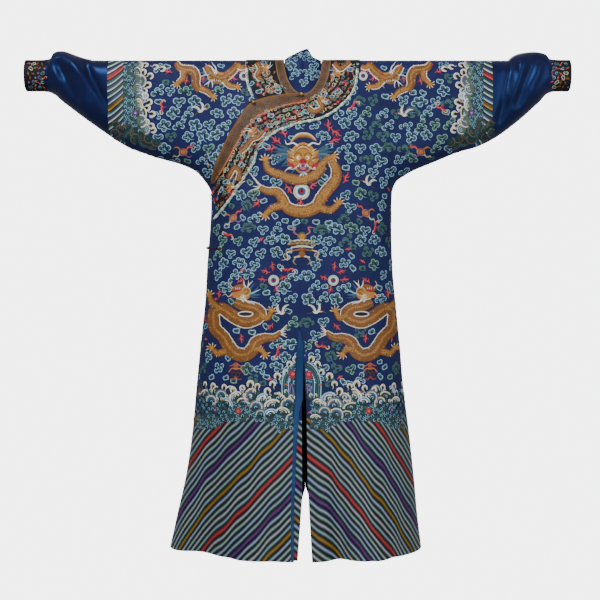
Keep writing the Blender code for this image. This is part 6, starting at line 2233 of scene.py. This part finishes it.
def make_closures(brass, cord_look):
    """Every ball button and cord, with its node and its slot."""
    made = []
    for name, x, z, radius, carried in BUTTONS:
        foot = Vector(places_on(x, z, False, carried + SEAM_GAP))
        out = Vector(places_on(x, z, False, 0.01) - places_on(x, z, False)).normalized()
        shank = radius * 0.35
        profile = [(1e-5, 0.0), (shank, 0.0), (shank, radius * 0.30)]
        profile += [(radius * math.sin(t), radius * (1.15 - math.cos(t)))
                    for t in np.linspace(0.36, 2.9, 16)]
        profile.append((1e-5, radius * 2.15))
        made.append((lathe("button_" + name, profile, foot, out, brass), "button_" + name, "buttons"))
    for name, carried, route in CORDS:
        lift = carried + SEAM_GAP + CORD_RADIUS
        path = smooth_curve(route, 8)
        centre = places_on(path[:, 0], path[:, 1], False, lift)
        made.append((cord_tube(name, centre, CORD_RADIUS, cord_look), name, "cords"))
    return made


def cord_tube(name, centre, radius, material):
    """A round cord along a line, with pointed ends."""
    ahead = headings(centre)
    side = np.cross(ahead, (0, 1, 0))
    side /= np.linalg.norm(side, axis=1, keepdims=True)
    up = np.cross(side, ahead)
    angles = np.linspace(0, 2 * math.pi, CORD_SIDES + 1)[:-1]
    rings = [c + radius * (s * math.cos(a) + u * math.sin(a)) for c, s, u in zip(centre, side, up)
             for a in angles]
    faces = ring_faces(len(centre), CORD_SIDES)
    count = len(rings)
    rings += [centre[0] - ahead[0] * radius * 0.7, centre[-1] + ahead[-1] * radius * 0.7]
    for first, tip in ((0, count), (count - CORD_SIDES, count + 1)):
        faces += [(first + j, first + (j + 1) % CORD_SIDES, tip) for j in range(CORD_SIDES)]
    return plain_piece(name, rings, faces, material)


# ---- The robe ----

ground = silk("blue ground silk", "ground")
# Near-black inside faces: the lining's dark colour, and painted shade for the robe's inside seen through
# the slits
lining = silk("dark lining with painted inner shade", "lining", 0.6)
striped, sleeve_striped = stripes("lishui stripes", 0.47), stripes("sleeve stripes", 0.75, 1.85, True)
blue_satin = satin("dark blue satin", "satin blue")
facing_satin = satin("light blue satin", "facing")
black_silk = silk("black silk", "black", 0.55)
brown = brocade("brown gold brocade", "trim", "trim gold")
brass = metal("gilt brass")
cord_look = silk("brown silk cord", "brown", 0.5)
looks = [ground, lining, striped, sleeve_striped]

pieces = make_panels(looks)
SATIN_RINGS, SATIN_SIDES, CUFF_RINGS, CUFF_SIDES = 46, 68, 14, 48
satin_stations = np.linspace(SLEEVE_SEAM_X + SEAM_GAP / 2, CUFF_SEAM_X - SEAM_GAP / 2, SATIN_RINGS)
for side, word in ((1, "left"), (-1, "right")):
    name = "sleeve_" + word
    pieces[name] = make_tube(name, side, satin_stations, SATIN_SIDES, [blue_satin, lining])
    name = "cuff_" + word
    stations = np.linspace(CUFF_SEAM_X + SEAM_GAP / 2, CUFF_END_X[side], CUFF_RINGS)
    pieces[name] = make_tube(name, side, stations, CUFF_SIDES, [black_silk, lining])
pieces["neck_trim"] = make_strip("neck_trim", trim_edges(), 5, [brown])
pieces["lapel_trim"] = make_strip("lapel_trim", lapel_edges(), 5, [brown])
pieces["collar_band"] = make_strip("collar_band", band_edges(), 9, [black_silk])
pieces["neck_flap"] = make_neck_flap([ground, lining])
pieces["slit_facing"] = make_slit_facing([facing_satin, lining])

SLOTS = {"cuff_left": "cuffs", "cuff_right": "cuffs", "neck_trim": "trim", "lapel_trim": "trim",
         "neck_flap": "underlap"}
cloth = [(piece, name, SLOTS.get(name, name)) for name, piece in pieces.items()]
for piece, name, slot in cloth + make_closures(brass, cord_look):
    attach(piece, "root")
    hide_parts(name)

floss_looks = {name: couched(name.split()[0]) if name.endswith("scales") else floss(name) for name in FLOSS}
embroidered = [work.finish(floss_looks) for work in embroider()]

# ---- Studio ----

BACKDROP = 5.1           # linear, which the view shows as the photograph's pale grey
AMBIENT = 0.34           # what the room gives the cloth
LIGHTS = (
    ("key", (-1.3, -2.4, 1.9), (0, 0, -0.6), 1.6, 108.0),
    ("fill", (2.0, -2.6, 0.0), (0, 0, -0.7), 2.6, 44.0),
    ("low", (0.0, -3.2, -1.3), (0, 0, -0.9), 1.8, 12.0), ("rear", (0.5, 3.2, 1.0), (0, 0, -0.6), 2.4, 60.0),
)
# The pale room, seen by the camera alone: distance from the middle and height
ROOM = ((0.0, -1.50), (9.0, -1.50), (12.0, -0.6), (13.0, 4.0), (9.0, 9.0), (0.0, 11.0))


def make_studio():
    """A pale room, four lights and the photograph's camera."""
    world = bpy.data.worlds.new("studio")
    bpy.context.scene.world = world
    world.use_nodes = True
    tree = world.node_tree
    sky = tree.nodes["Background"]
    sky.inputs["Color"].default_value = (1, 1, 1, 1)
    sky.inputs["Strength"].default_value = AMBIENT
    pale = Look("pale floor", (0, 0, 0, 1), roughness=1.0, specular=0.0)
    pale.set("Emission Color", (1, 1, 1, 1))
    pale.set("Emission Strength", BACKDROP)
    turns = np.linspace(0, 2 * math.pi, 49)
    profile = smooth_curve(ROOM, 5)
    points = [(*polar(r, a), h) for r, h in profile for a in turns]
    columns = len(turns)
    faces = [(i * columns + j, i * columns + j + 1, (i + 1) * columns + j + 1, (i + 1) * columns + j)
             for i in range(len(profile) - 1) for j in range(columns - 1)]
    mesh = bpy.data.meshes.new("floor")
    mesh.from_pydata(points, [], faces)
    mesh.materials.append(pale.material)
    floor = linked("floor", mesh)
    for seen in ("diffuse", "glossy", "transmission", "shadow"):
        setattr(floor, "visible_" + seen, False)
    for name, place, aim, size, power in LIGHTS:
        lamp = bpy.data.lights.new(name, "AREA")
        lamp.energy = power
        lamp.size = size
        lamp.shape = "DISK"
        light = linked(name, lamp)
        light.location = place
        light.rotation_euler = (Vector(aim) - Vector(place)).to_track_quat("-Z", "Y").to_euler()
    camera = linked("camera", bpy.data.cameras.new("camera"))
    camera.location = (0, -EYE_AWAY, EYE_Z)
    camera.rotation_euler = (math.pi / 2, 0, 0)
    camera.data.lens = LENS
    camera.data.sensor_width = 36
    bpy.context.scene.camera = camera


make_studio()

# Cut of each piece: width, length and area in square metres; what it rests on; its embroidery
SHEETS = {
    "back_left": (0.57, 1.42, 0.55, "hung", ("back_right", "front_left"),
                  ("clouds_back", "figures_back", "waves_back")),
    "back_right": (0.57, 1.42, 0.55, "hung", ("back_left", "front_right"), ()),
    "front_left": (0.57, 1.42, 0.55, "hung", ("back_left",),
                   ("clouds_front", "figures_front", "waves_front")),
    "front_right": (0.51, 0.40, 0.142, "hung", ("back_right",), ()),
    "front_overlap": (0.39, 1.30, 0.40, "hung", ("front_left", "back_right"), ()),
    "underlap": (0.39, 1.25, 0.375, "hung", ("back_right",), ()),
    "sleeve_left": (0.50, 0.19, 0.087, "hung", ("front_left",), ()),
    "sleeve_right": (0.48, 0.19, 0.083, "hung", ("front_right",), ()),
    "cuff_left": (0.26, 0.050, 0.0122, "hung", ("sleeve_left",), ()),
    "cuff_right": (0.26, 0.062, 0.0155, "hung", ("sleeve_right",), ()),
    "neck_trim": (0.025, 0.64, 0.0152, "laid", ("front_left", "back_left", "back_right"), ()),
    "lapel_trim": (0.031, 0.43, 0.0125, "laid", ("front_overlap",), ()),
    "collar_band": (0.076, 1.25, 0.088, "laid", ("front_overlap", "front_left", "back_left", "back_right"),
                    ("band_figures",)),
    "neck_flap": (0.135, 0.160, 0.0190, "hung", ("front_right",), ("flap_figures",)),
    "slit_facing": (0.020, 0.615, 0.0081, "laid", ("front_overlap",), ()),
}
shown = {piece.name: piece for piece in embroidered}
for name, (width, length, area, held, rests_on, with_names) in SHEETS.items():
    list(rests_on)
    [shown[other] for other in with_names]
